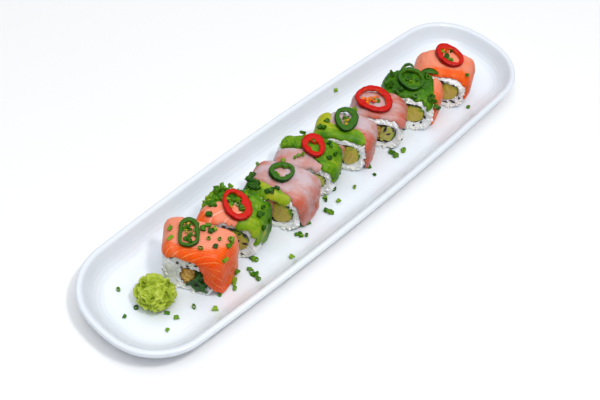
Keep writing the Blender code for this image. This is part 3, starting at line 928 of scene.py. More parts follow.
    def top(self, along: np.ndarray, left: np.ndarray) -> np.ndarray:
        """Height of the toppings' upper surface above a place on the slice."""
        width, height, middle = self.size_at(np.asarray(along) / self.thick)
        across = np.minimum(np.abs(left - middle) / (width / 2), 0.985)
        return height / 2 + height / 2 * (1 - across**self.square) ** (1 / self.square)

    def even_ways(self, start: float, end: float, count: int) -> tuple[np.ndarray, np.ndarray]:
        """Ways at equal distances over the slice.

        Args:
            start: First way.
            end: Last way.
            count: How many.

        Returns:
            The ways, and how far each is along the surface from the first.
        """
        fine = np.linspace(start, end, 900)
        line = self.wall(fine, 0.5, self.lift)
        run = np.concatenate([[0.0], np.cumsum(np.linalg.norm(np.diff(line, axis=0), axis=1))])
        even = np.linspace(0.0, run[-1], count)
        return np.interp(even, run, fine), even


SLICES = [
    SliceForm(1, 28, 24, (43, 55), (40.5, 46), 0.0, 3.7, 2, (0.55, 0.54, 0.12, 0.36), 0.05),
    SliceForm(2, 34, 25, (48, 48), (37, 42), 4.5, 3.0, 1, (0.67, 0.67, 0.06, 0.49), 0.0),
    SliceForm(3, 27, 25, (48.5, 52), (32.5, 40), 5.0, 3.2, 1, (0.67, 0.71, 0.07, 0.51), 0.0),
    SliceForm(4, 37, 25, (49, 50), (31, 35), 2.0, 2.9, 0, (0.67, 0.65, 0.07, 0.46), -0.05),
    SliceForm(5, 35, 22, (45.5, 49), (32.5, 37), 2.5, 3.6, 1, (0.66, 0.69, 0.08, 0.50), 0.12),
    SliceForm(6, 38, 25, (43, 45.5), (31, 34.5), -1.0, 3.3, 0, (0.66, 0.65, 0.07, 0.49), 0.05),
    SliceForm(7, 31, 25, (44.5, 50), (32, 37.5), 1.5, 2.8, 0, (0.66, 0.67, 0.06, 0.53), -0.05),
    SliceForm(8, 35, 25, (44.5, 51), (31.5, 37), 2.0, 2.7, 0, (0.67, 0.68, 0.07, 0.54), -0.05),
]


# ------------------------------------------------------------------ toppings
@dataclass
class Drape:
    """A strip of fish or avocado laid over a slice.

    Args:
        form: The slice.
        name: The CAD node that it replaces.
        finish: What it is made of.
        slot: The record's slot.
        stations: (way, near edge, far edge) along the strip; the edges are shares of the
            slice's thickness.
        tints: (way, share, tone) where the tone is known; between them it blends.
        ragged: How far the edges wander, as a share of the thickness.
        relief: Height of the strip's soft unevenness.
        rough: Height of its fine raggedness, for mashed or chopped flesh.
    """

    form: SliceForm
    name: str
    finish: Finish
    slot: str
    stations: Stations
    tints: Stations
    ragged: float = 0.02
    relief: float = 0.22
    rough: float = 0.08
    thick: float = 2.1
    rows: int = 150
    over: int = 44
    under: int = 14
    end_round: float = 2.0
    edge_power: float = 18.0
    seed: int = 0

    def edges(self, ways: np.ndarray, run: np.ndarray) -> tuple[np.ndarray, np.ndarray]:
        """Near and far edges of the strip along it, smoothed and a little ragged."""
        table = np.array(self.stations)
        spread = np.exp(-0.5 * (np.arange(-9, 10) / 3.5) ** 2)
        spread /= spread.sum()
        found = []
        for column in (1, 2):
            edge = np.interp(ways, table[:, 0], table[:, column])
            edge = np.convolve(np.pad(edge, 9, mode="edge"), spread, "valid")
            spots = np.stack([run, np.full_like(run, 40.0 * column), np.zeros_like(run)], axis=-1)
            edge = edge + self.ragged * (Wobble(9.0, self.seed + column).at(spots) + 0.5 * Wobble(3.5, self.seed).at(spots))
            found.append(edge)
        near, far = found
        return near, np.maximum(far, near + 0.03)

    def tone(self, ways: np.ndarray, shares: np.ndarray) -> np.ndarray:
        """Tones blended from the tints by distance."""
        total, weights = np.zeros(ways.shape), np.zeros(ways.shape)
        for way, share, value in self.tints:
            far = ((ways - way) * 30.0) ** 2 + ((shares - share) * self.form.thick) ** 2
            weight = 1.0 / (far + 9.0) ** 2
            total += weight * value
            weights += weight
        return total / weights

    def build(self) -> bpy.types.Object:
        """Makes the strip as one closed skin: over the top, round the far edge and back under."""
        form = self.form
        ways, run = form.even_ways(self.stations[0][0], self.stations[-1][0], self.rows)
        near, far = self.edges(ways, run)
        to_end = np.minimum(run, run[-1] - run)
        body = np.sqrt(np.clip(1 - (1 - np.minimum(to_end / self.end_round, 1.0)) ** 2, 0.0, 1.0))
        pull = (1 - body) * self.end_round / form.thick
        near, far = near + pull, far - pull
        top_u = np.sin(np.linspace(-0.5, 0.5, self.over) * math.pi)
        under_u = np.sin(np.linspace(0.5, -0.5, self.under) * math.pi)[1:-1]
        u = np.concatenate([top_u, under_u])
        outer = np.concatenate([np.ones(self.over), np.zeros(self.under - 2)])
        swell = np.clip(1 - np.abs(u) ** self.edge_power, 0.0, 1.0) ** 0.4 * outer
        shares = near[:, None] + (far - near)[:, None] * (u[None, :] + 1) / 2
        all_ways = np.broadcast_to(ways[:, None], shares.shape)
        base = form.wall(all_ways, shares, 1.0)
        soft = Wobble(13.0, self.seed + 5).at(base) + 0.4 * Wobble(5.0, self.seed + 6).at(base)
        thick = self.thick * body[:, None] * swell
        bottom = form.lift * (0.35 + 0.65 * (1 - np.abs(u) ** 4))
        ragged = np.abs(Wobble(4.2, self.seed + 8).at(base)) + 0.6 * np.abs(Wobble(2.0, self.seed + 9).at(base)) - 0.8
        lift = bottom[None, :] + thick + (self.relief * soft + self.rough * ragged) * swell * body[:, None]
        across = shares * form.thick
        grid = form.place(form.laid(all_ways, across, lift))
        sheet = np.stack([np.broadcast_to(run[:, None], shares.shape), across, lift], axis=-1)
        sheet = sheet + np.array([13.0, 29.0, 0.0]) * (self.seed % 17)
        shape = Shape()
        # Painted shade: the tone drops in the dips of the fine raggedness and rises on its bumps.
        tone = self.tone(all_ways, shares) + 0.25 * np.minimum(self.rough, 1.0) * ragged
        shape.add_grid(grid, wrap_columns=True, sheet=sheet.reshape(-1, 3), tone=tone)
        piece = shape.build(f"{self.name}_drape", self.finish, self.slot, (self.name,))
        return piece

    def clear_of(self, ways: np.ndarray, shares: np.ndarray) -> np.ndarray:
        """How far places lie outside the strip, in millimetres, and below 0 under it."""
        table = np.array(self.stations)
        near = np.interp(ways, table[:, 0], table[:, 1])
        far = np.interp(ways, table[:, 0], table[:, 2])
        across = np.maximum(near - shares, shares - far) * self.form.thick
        along = np.maximum(table[0, 0] - ways, ways - table[-1, 0]) * 24.0
        return np.maximum(across, along)


# How rough the mashed and roughly cut avocado is, in millimetres.
ROUGHNESS = {"avocado_left_2": 1.0, "avocado_right_2": 0.25, "avocado_3": 0.15, "avocado_right_4": 0.35, "avocado_7": 0.28, "avocado_back_4": 0.5}


# How far the edges of the roughly laid toppings wander, as a share of the slice's thickness.
RAGGED = {"avocado_left_2": 0.05, "avocado_right_2": 0.04, "avocado_7": 0.02, "salmon_2": 0.03}


def drapes_of(forms: dict[int, SliceForm]) -> list[Drape]:
    """Every topping strip, slice by slice."""
    salmon, fish, avocado = Salmon(), WhiteFish(), Avocado()
    # The salmon tints set a high tone on the upward-facing tops and a low one where the strip curves away: partly the
    # flesh's own tint, partly painted sheen of the overhead light.
    rows = [
        (1, "salmon", salmon,
         [(-0.94, 0.10, 1.0), (-0.6, -0.04, 1.0), (-0.3, -0.20, 1.0), (0.0, -0.32, 1.0), (0.2, -0.38, 1.0),
          (0.34, -0.33, 1.0), (0.46, -0.15, 1.0), (0.62, -0.06, 1.0), (0.84, -0.02, 1.0), (0.94, 0.14, 1.0),
          (1.1, 0.5, 1.0), (1.3, 0.75, 1.0)],
         [(1.1, 0.5, 0.8), (0.75, 0.6, 1.1), (0.45, 0.7, 1.1), (0.55, 0.4, 1.0), (0.75, 0.0, 0.3), (0.35, 0.0, 0.0),
          (0.12, 0.4, 0.1), (-0.3, 0.3, 0.0), (-0.7, 0.3, 0.15), (-0.2, 0.95, 0.75), (-0.7, 0.95, 0.9)]),
        (2, "avocado_right", avocado, [(-0.75, 0.45, 1.0), (-0.25, 0.22, 1.0), (-0.02, 0.0, 1.0), (0.14, -0.03, 1.0), (0.45, -0.03, 1.0)],
         [(0.4, 0.6, 0.45), (0.25, 0.5, 0.5), (0.15, 0.1, 0.75), (-0.2, 0.2, 0.7), (-0.1, 0.8, 0.2), (-0.6, 0.5, 0.25)]),
        (2, "salmon", salmon, [(0.44, -0.03, 0.60), (0.75, -0.03, 0.46), (1.3, 0.0, 0.38)],
         [(0.5, 0.2, 0.95), (0.65, 0.3, 0.9), (0.8, 0.1, 0.25), (1.1, 0.2, 0.15), (1.3, 0.2, 0.5)]),
        (2, "avocado_left", avocado, [(0.45, 0.60, 1.0), (0.75, 0.48, 1.0), (1.3, 0.42, 1.0)],
         [(0.5, 0.8, 0.35), (0.8, 0.8, 0.55), (1.1, 0.8, 0.45), (0.8, 0.5, 0.4)]),
        (3, "white_fish", fish,
         [(-0.9, 0.16, 1.0), (-0.3, 0.06, 1.0), (0.1, 0.0, 1.0), (0.35, 0.05, 1.0), (0.5, 0.20, 1.0), (0.7, 0.38, 1.0), (1.25, 0.5, 1.0)],
         [(0.9, 0.8, 0.5), (0.5, 0.7, 0.15), (0.3, 0.4, 0.2), (0.12, 0.5, 0.75), (-0.4, 0.5, 0.85), (0.2, 0.05, 0.75)]),
        (3, "avocado", avocado, [(0.35, -0.03, 0.03), (0.5, -0.03, 0.24), (0.7, -0.03, 0.42), (1.25, 0.0, 0.52)],
         [(0.45, 0.1, 0.95), (0.56, 0.2, 0.85), (0.7, 0.3, 0.5), (0.62, 0.0, 0.6), (0.7, 0.05, 0.25), (1.1, 0.2, 0.2), (0.9, 0.05, 0.15)]),
        (4, "avocado_right", avocado, [(-0.6, 0.45, 1.0), (-0.2, 0.16, 1.0), (0.05, -0.01, 1.0), (0.35, 0.0, 1.0), (0.44, 0.22, 1.0), (0.52, 0.48, 1.0)],
         [(0.4, 0.8, 0.45), (0.2, 0.4, 0.6), (0.1, 0.9, 0.25), (-0.2, 0.5, 0.3), (-0.5, 0.5, 0.15)]),
        (4, "white_fish", fish,
         [(0.37, -0.03, 0.02), (0.48, -0.03, 0.28), (0.52, -0.03, 0.52), (0.84, -0.03, 0.60), (1.3, 0.0, 0.98)],
         [(0.45, 0.1, 0.35), (0.6, 0.3, 0.15), (0.75, 0.1, 0.5), (0.9, 0.4, 0.1), (1.2, 0.7, 0.0)]),
        (4, "avocado_back", avocado, [(0.49, 0.56, 1.0), (0.84, 0.64, 1.0)], [(0.5, 0.8, 0.4), (0.75, 0.8, 0.6)]),
        (5, "white_fish", fish,
         [(-0.92, 0.10, 1.0), (0.0, 0.02, 1.0), (0.24, 0.02, 1.0), (0.32, 0.14, 1.0), (0.4, 0.34, 1.0), (0.63, 0.54, 1.0)],
         [(0.5, 0.85, 0.0), (0.3, 0.7, 0.15), (0.22, 0.3, 0.9), (0.1, 0.3, 0.95), (0.1, 0.8, 0.4), (-0.3, 0.4, 1.0), (-0.7, 0.5, 0.9)]),
        (5, "avocado", avocado,
         [(0.26, 0.02, 0.05), (0.32, 0.02, 0.18), (0.4, 0.02, 0.40), (0.6, 0.02, 0.58), (0.62, 0.02, 1.0),
          (1.25, 0.0, 1.0)],
         [(0.65, 0.8, 1.15), (0.8, 0.6, 1.0), (0.6, 0.4, 0.85), (0.4, 0.2, 0.55), (0.15, 0.0, 0.5), (1.1, 0.3, 0.3),
          (0.7, 0.0, 0.4)]),
        (6, "white_fish", fish, [(0.08, 0.02, 0.96), (0.4, 0.03, 1.0), (1.3, 0.03, 1.0)],
         [(0.2, 0.3, 1.0), (0.35, 0.2, 0.5), (0.5, 0.1, 0.65), (0.5, 0.5, 0.1), (0.8, 0.2, 0.1), (1.1, 0.5, 0.3), (0.15, 0.9, 0.9), (0.3, 0.6, 0.7)]),
        (7, "salmon", salmon,
         [(-0.95, 0.24, 1.0), (-0.1, 0.20, 1.0), (0.12, 0.16, 1.0), (0.22, 0.30, 1.0), (0.33, 0.78, 1.0)],
         [(0.25, 0.9, 0.9), (0.1, 0.8, 0.5), (-0.1, 0.7, 0.1), (-0.4, 0.5, 0.2), (-0.8, 0.4, 0.25), (-0.4, 0.95, 0.6)]),
        (7, "avocado", avocado,
         [(0.16, 0.01, 0.06), (0.24, 0.01, 0.30), (0.33, 0.02, 0.78), (0.36, 0.02, 1.0), (1.15, 0.08, 1.0)],
         [(0.0, 0.1, 0.45), (0.2, 0.3, 0.4), (0.5, 0.3, 0.3), (0.8, 0.5, 0.3), (1.1, 0.6, 0.3), (0.45, 0.9, 0.2)]),
        (8, "salmon", salmon, [(-0.6, 0.12, 1.0), (0.1, 0.06, 1.0), (0.5, 0.04, 1.0), (1.3, 0.03, 1.0)],
         [(0.5, 0.7, 1.0), (0.9, 0.5, 0.85), (0.3, 0.6, 0.85), (0.5, 0.0, 0.25), (0.2, 0.1, 0.2), (0.0, 0.6, 0.35),
          (-0.4, 0.4, 0.2), (-0.1, 0.95, 0.8)]),
    ]
    found = []
    for k, (number, name, finish, stations, tints) in enumerate(rows):
        slot = {"Salmon": "salmon", "WhiteFish": "white_fish", "Avocado": "avocado"}[type(finish).__name__]
        found.append(
            Drape(
                forms[number], f"{name}_{number}", finish, slot, stations, tints, seed=31 * k + 7,
                rough=ROUGHNESS.get(f"{name}_{number}", 0.08), ragged=RAGGED.get(f"{name}_{number}", 0.015),
            )
        )
    return found


# ------------------------------------------------------------------ rice
@dataclass
class Rice:
    """The pressed rice of one slice: an uneven core with whole grains bedded in it."""

    form: SliceForm
    drapes: list[Drape]
    grain_long: tuple[float, float] = (5.0, 6.4)
    grain_wide: tuple[float, float] = (2.4, 2.9)
    spacing: float = 2.55
    around: int = 150
    relief: float = 0.30
    clear: float = 0.15
    swelling: float = 1.9

    def ways(self, angles: np.ndarray) -> np.ndarray:
        """The way round the slice of each angle, below the middle too."""
        fall = np.abs(np.sin(angles)) ** (2 / self.form.underside_square)
        beneath = np.where(np.cos(angles) > 0, -fall, 1 + fall)
        turn = np.mod(angles, TAU)
        return np.where(turn <= math.pi, turn / math.pi, beneath)

    def bareness(self, angles: np.ndarray, runs: np.ndarray) -> np.ndarray:
        """How far places are from any topping, in millimetres."""
        ways, shares = self.ways(angles), runs / self.form.thick
        found = np.full(np.broadcast(angles, runs).shape, 50.0)
        for drape in self.drapes:
            found = np.minimum(found, drape.clear_of(ways, shares))
        return found

    def skin(self, angles: np.ndarray, runs: np.ndarray, lift: float) -> np.ndarray:
        """The rice's own surface: it swells out where no topping holds it in."""
        swell = self.swelling * smooth_step(self.bareness(angles, runs), 0.0, 2.5)
        return self.form.skin(angles, runs, lift + swell)

    def core(self, shape: Shape) -> None:
        """The core as one closed skin: near face, outer wall, far face and the wall of its channel."""
        form = self.form
        angles = TAU * np.arange(self.around) / self.around
        rows = []
        rim_near = self.skin(angles, np.full_like(angles, -1.2), -0.5)
        rim_far = self.skin(angles, np.full_like(angles, form.thick + 1.2), -0.5)
        steps = np.linspace(0.0, 1.0, 12)
        for step in steps[:-1]:
            rows.append(form.core_edge(angles, 0.0, 0.0) * (1 - step) + rim_near * step)
        for run in (-1.2, -0.4, 0.4, 1.3, *np.linspace(2.6, form.thick - 2.6, 14), form.thick - 1.3, form.thick - 0.4):
            rows.append(self.skin(angles, np.full_like(angles, run), -0.5))
        for step in steps[::-1]:
            rows.append(form.core_edge(angles, 1.0, 0.0) * (1 - step) + rim_far * step)
        grid = np.stack(rows)
        bumps = Wobble(3.4, 17 * form.number).at(grid) + 0.6 * Wobble(9.0, 3 * form.number).at(grid)
        middle = np.array([form.thick / 2, *grid[:, :, 1:].mean((0, 1))])
        grid = grid + unit(grid - middle) * (bumps * self.relief)[..., None]
        grid[..., 2] = np.maximum(grid[..., 2], self.clear)
        # Painted shade: the core's tone is lower in its dents and higher on its bulges.
        shape.add_grid(
            form.place(grid), wrap_rows=True, wrap_columns=True, tone=0.80 + 0.15 * bumps, damp=self.damp(grid)
        )

    def damp(self, points: np.ndarray) -> np.ndarray:
        """How damp and green the rice is: most at its foot."""
        return 0.35 * (1 - smooth_step(points[..., 2], 0.0, 8.0))

    def beds(self, draw: np.random.Generator) -> tuple[np.ndarray, np.ndarray]:
        """Where grains lie and which way is out, over both faces and the bare walls."""
        form, spots, outward = self.form, [], []
        for share, way_out in ((0.0, -1.0), (1.0, 1.0)):
            _, height, middle = form.size_at(share)
            ys = np.arange(-32.0, 32.0, self.spacing)
            zs = np.arange(0.9, height, self.spacing * 0.86)
            y, z = np.meshgrid(ys, zs)
            y = y + (np.arange(len(zs))[:, None] % 2) * self.spacing / 2 + middle
            y = (y + draw.uniform(-0.7, 0.7, y.shape)).ravel()
            z = (z + draw.uniform(-0.7, 0.7, z.shape)).ravel()
            keep = self.inside(y, z, share)
            spots.append(np.stack([np.full(keep.sum(), share * form.thick), y[keep], z[keep]], axis=-1))
            outward.append(np.tile([way_out, 0.0, 0.0], (keep.sum(), 1)))
        angles = np.linspace(0.0, TAU, 56, endpoint=False)
        runs = np.linspace(0.2, form.thick - 0.2, 10)
        a, r = np.meshgrid(angles, runs)
        a = (a + (np.arange(10)[:, None] % 2) * TAU / 112 + draw.uniform(-0.04, 0.04, a.shape)).ravel()
        r = (r + draw.uniform(-0.6, 0.6, r.shape)).ravel()
        bare = self.bareness(a, r) > -2.0
        a, r = a[bare], r[bare]
        wall = self.skin(a, r, -0.2)
        by_angle = self.skin(a + 0.02, r, -0.2) - self.skin(a - 0.02, r, -0.2)
        by_run = self.skin(a, r + 0.1, -0.2) - self.skin(a, r - 0.1, -0.2)
        normal = unit(np.cross(by_angle, by_run))
        centre = form.rice(a, np.full_like(a, 0.5), 0.0)
        normal *= np.sign((normal * (wall - centre)).sum(-1, keepdims=True))
        spots.append(wall)
        outward.append(normal)
        return np.concatenate(spots), np.concatenate(outward)

    def inside(self, y: np.ndarray, z: np.ndarray, share: float) -> np.ndarray:
        """Which places of a face are rice: inside its outline and outside the channel."""
        form = self.form
        width, height, middle = form.size_at(share)
        half = width / 2 - form.topping - form.lift
        tall = (height - form.topping - form.lift) / 2
        square = np.where(z >= tall, form.square, form.underside_square)
        outline = np.abs((y - middle) / (half - 1.0)) ** square + np.abs((z - tall) / (tall - 0.9)) ** square
        wide, high, right, up = form.core
        core_y = (y - (middle - right * width / 2)) / (wide * (width / 2 - form.topping) + 0.55)
        core_z = (z - up * (height - form.topping)) / (high * (height - form.topping) / 2 + 0.55)
        return (outline < 1.0) & (np.abs(core_y) ** 2.5 + np.abs(core_z) ** 2.5 > 1.0)

    def build(self) -> bpy.types.Object:
        """Makes the core and its grains as one piece."""
        draw = np.random.default_rng(100 + self.form.number)
        shape = Shape()
        self.core(shape)
        spots, outward = self.beds(draw)
        count = len(spots)
        template, faces = grain_template(8, 5)
        half = np.stack(
            [
                draw.uniform(*self.grain_long, count) / 2,
                draw.uniform(*self.grain_wide, count) / 2,
                draw.uniform(*self.grain_wide, count) / 2 * 0.9,
            ],
            axis=-1,
        )
        tilt = unit(outward + draw.normal(0.0, 0.14, outward.shape))
        turns = frames_from(tilt, draw.uniform(0.0, TAU, count))
        local = template[None] * half[:, None]
        bend = draw.uniform(-0.10, 0.10, count)[:, None]
        local[..., 1] += bend * (local[..., 0] ** 2) / 2
        points = np.einsum("nij,npj->npi", turns, local)
        sink = draw.uniform(-0.95, -0.45, count)
        points += (spots + outward * sink[:, None])[:, None]
        points[..., 2] = np.maximum(points[..., 2], self.clear - 0.1)
        step = np.arange(count)[:, None, None] * len(template)
        tone = np.repeat(draw.uniform(0.2, 0.9, count), len(template))
        shape.add(
            self.form.place(points.reshape(-1, 3)), (faces[None] + step).reshape(-1, 4), tone=tone,
            damp=self.damp(points).ravel(),
        )
        number = self.form.number
        return shape.build(f"pressed_rice_{number}", CookedRice(), "rice", (f"rice_{number}",))


# ------------------------------------------------------------------ the rolled-in core
class Fill(Enum):
    """What a slice is rolled round."""

    TEMPURA = "tempura"
    LEAF = "leaf"
    AVOCADO = "avocado_core"
    PRAWN = "prawn"
    CUCUMBER = "cucumber"


FILL_FINISH = {
    Fill.TEMPURA: Filling(
        name="fried_filling", heart=(0.78, 0.50, 0.12), flesh=(0.66, 0.36, 0.07), rim=(0.36, 0.17, 0.03),
        fleck=(0.72, 0.50, 0.16), rim_start=0.6, streak=(420.0, 420.0, 420.0), fleck_share=0.7, bump_depth=0.0010,
    ),
    Fill.LEAF: Filling(
        name="green_leaf", heart=(0.030, 0.090, 0.012), flesh=(0.040, 0.110, 0.014), rim=(0.012, 0.040, 0.008),
        fleck=(0.16, 0.20, 0.04), rim_start=0.5, streak=(300.0, 300.0, 300.0), fleck_share=0.5, bump_depth=0.0008,
    ),
    Fill.AVOCADO: Filling(name="avocado_filling"),
    Fill.PRAWN: Filling(
        name="prawn_filling", heart=(0.68, 0.50, 0.46), flesh=(0.66, 0.44, 0.38), rim=(0.70, 0.26, 0.10),
        fleck=(0.76, 0.64, 0.62), rim_start=0.72, streak=(260.0, 260.0, 700.0), fleck_share=0.5,
    ),
    Fill.CUCUMBER: Filling(
        name="cucumber_filling", heart=(0.56, 0.50, 0.13), flesh=(0.50, 0.52, 0.10), rim=(0.035, 0.110, 0.006),
        fleck=(0.52, 0.52, 0.22), rim_start=0.78, streak=(300.0, 300.0, 300.0), fleck_share=0.4,
    ),
}


@dataclass
class Core:
    """The nori and the two fillings of one slice."""

    form: SliceForm
    left: Fill
    right: Fill
    bold: tuple[float, float]
    nori: float = 0.3
    gap: float = 0.1
    around: int = 64

    def build_nori(self) -> bpy.types.Object:
        """The rolled sheet, uneven at its cut edges."""
        form = self.form
        angles = TAU * np.arange(110) / 110
        amount, middle = self.bold
        bold = amount * np.clip(np.cos(angles - math.radians(middle)), 0.0, 1.0)
        rows = []
        for share, inset in (
            [(s, 0.0) for s in np.linspace(0.0, 1.0, 7)] + [(s, 0.5) for s in np.linspace(1.0, 0.0, 7)]
        ):
            rows.append(form.core_edge(angles, share, inset + (bold * 0.4 if inset > 0 else -bold * 0.5)))
        grid = np.stack(rows)
        crinkle = Wobble(7.0, 5 * form.number).at(grid)
        centre = grid.mean((0, 1))
        away = unit((grid - centre) * [0.0, 1.0, 1.0])
        grid = grid + away * (crinkle * 0.18)[..., None]
        ends = np.array([-1.0] + [0.0] * 5 + [1.0, 1.0] + [0.0] * 5 + [-1.0])
        reach = 0.45 * Wobble(6.0, 9 * form.number).at(grid) - 0.35 + 1.1 * bold[None, :]
        grid[..., 0] += ends[:, None] * reach
        shape = Shape()
        shape.add_grid(form.place(grid), wrap_rows=True, wrap_columns=True)
        return shape.build(f"nori_sheet_{form.number}", Seaweed(), "nori", (f"nori_{form.number}",))

    def outline(self, side: str, share: float, inset: float) -> tuple[np.ndarray, np.ndarray]:
        """The outline of one filling: the core's side of the line where the two meet.

        Args:
            side: "left" or "right".
            share: Share of the thickness.
            inset: How far it stays inside the core.

        Returns:
            The outline as y and z in the slice's frame, and its middle.
        """
        form = self.form
        wide, tall, right, up = form.core
        width, height, middle = form.size_at(share)
        half = wide * (width / 2 - form.topping) - inset
        half_tall = tall * (height - form.topping) / 2 - inset
        split = form.meet * half
        low, high = (split + self.gap / 2, half) if side == "right" else (-half, split - self.gap / 2)
        centre = np.array([(low + high) / 2, 0.0])
        angles = TAU * np.arange(self.around) / self.around
        rays = np.stack([np.cos(angles), np.sin(angles)], axis=-1)
        near, far = np.zeros(self.around), np.full(self.around, 2 * half)
        for _ in range(22):
            reach = (near + far) / 2
            spot = centre + rays * reach[:, None]
            level = np.abs(spot[:, 0] / half) ** form.core_square + np.abs(spot[:, 1] / half_tall) ** form.core_square
            out = (level > 1.0) | (spot[:, 0] < low) | (spot[:, 0] > high)
            near, far = np.where(out, near, reach), np.where(out, reach, far)
        blur = np.exp(-0.5 * (np.arange(-6, 7) / 3.0) ** 2)
        reach = np.convolve(np.pad(near, 6, mode="wrap"), blur / blur.sum(), "valid")
        spots = centre + rays * reach[:, None]
        y = middle - right * width / 2 - spots[:, 0]
        z = up * (height - form.topping) + spots[:, 1]
        core = np.array([middle - right * width / 2 - centre[0], up * (height - form.topping)])
        return np.stack([y, z], axis=-1), core

    def build_filling(self, side: str, fill: Fill) -> bpy.types.Object:
        """One filling, with a slightly domed and torn face at each cut."""
        form = self.form
        number = form.number
        inset = self.gap + self.nori + 0.2
        seed = 41 * number + (3 if side == "left" else 11)
        draw = np.random.default_rng(seed)
        proud = draw.uniform(0.0, 0.7)
        rings, cuts = [], []
        turn = np.arange(self.around) / self.around
        green = np.ones(self.around)
        if fill in (Fill.AVOCADO, Fill.CUCUMBER):
            green = 0.72 + 0.28 * np.cos(TAU * turn - (1.0 if fill is Fill.AVOCADO else -0.3))
        for end in (0.0, 1.0):
            edge, core = self.outline(side, end, inset)
            steps = np.linspace(0.03, 0.96, 10)
            for step in steps if end == 0.0 else steps[::-1]:
                flat = core + (edge - core) * step
                x = end * form.thick + (proud + 0.5 * (1 - step**3)) * (1.0 if end else -1.0)
                rings.append(np.column_stack([np.full(self.around, x), flat]))
                cuts.append(np.column_stack([step * green, turn, np.full(self.around, end)]))
            if end == 0.0:
                for share in np.linspace(0.01, 0.99, 6):
                    edge, _ = self.outline(side, share, inset)
                    rings.append(np.column_stack([np.full(self.around, share * form.thick), edge]))
                    cuts.append(np.column_stack([green, turn, np.full(self.around, share)]))
        grid = np.stack(rings)
        rough = 0.75 if fill in (Fill.TEMPURA, Fill.LEAF) else 0.30
        torn = Wobble(3.0, seed).at(grid) + 0.5 * Wobble(1.5, seed + 1).at(grid)
        facing = np.array([-1.0] * 10 + [0.0] * 6 + [1.0] * 10)
        grid[..., 0] += facing[:, None] * torn * rough * 0.6
        centre = grid.mean((0, 1))
        away = unit((grid - centre) * [0.0, 1.0, 1.0])
        grid = grid - away * (np.abs(torn) * rough * 0.4)[..., None]
        shape = Shape()
        shape.add_tube(form.place(grid), cut=np.stack(cuts).reshape(-1, 3))
        return shape.build(f"{fill.name.lower()}_{side}_{number}", FILL_FINISH[fill], fill.value, (f"filling_{side}_{number}",))


# The two fillings of each slice, and how boldly its nori shows and where, in degrees from its right.
CORE_FILLS = {
    1: (Fill.TEMPURA, Fill.LEAF, (0.0, 90.0)),
    2: (Fill.LEAF, Fill.AVOCADO, (0.7, 130.0)),
    3: (Fill.PRAWN, Fill.AVOCADO, (0.9, 70.0)),
    4: (Fill.TEMPURA, Fill.CUCUMBER, (0.3, 60.0)),
    5: (Fill.PRAWN, Fill.AVOCADO, (0.5, 140.0)),
    6: (Fill.TEMPURA, Fill.CUCUMBER, (0.6, 80.0)),
    7: (Fill.PRAWN, Fill.AVOCADO, (1.1, 95.0)),
    8: (Fill.PRAWN, Fill.AVOCADO, (1.4, 90.0)),
}


# ------------------------------------------------------------------ chilli rings
RED = Chilli(name="red_chilli_cut")
GREEN = Chilli(
    name="green_chilli_cut", skin=(0.005, 0.040, 0.001), flesh=(0.034, 0.135, 0.003), membrane=(0.17, 0.30, 0.015),
    seed=(0.62, 0.30, 0.03),
)


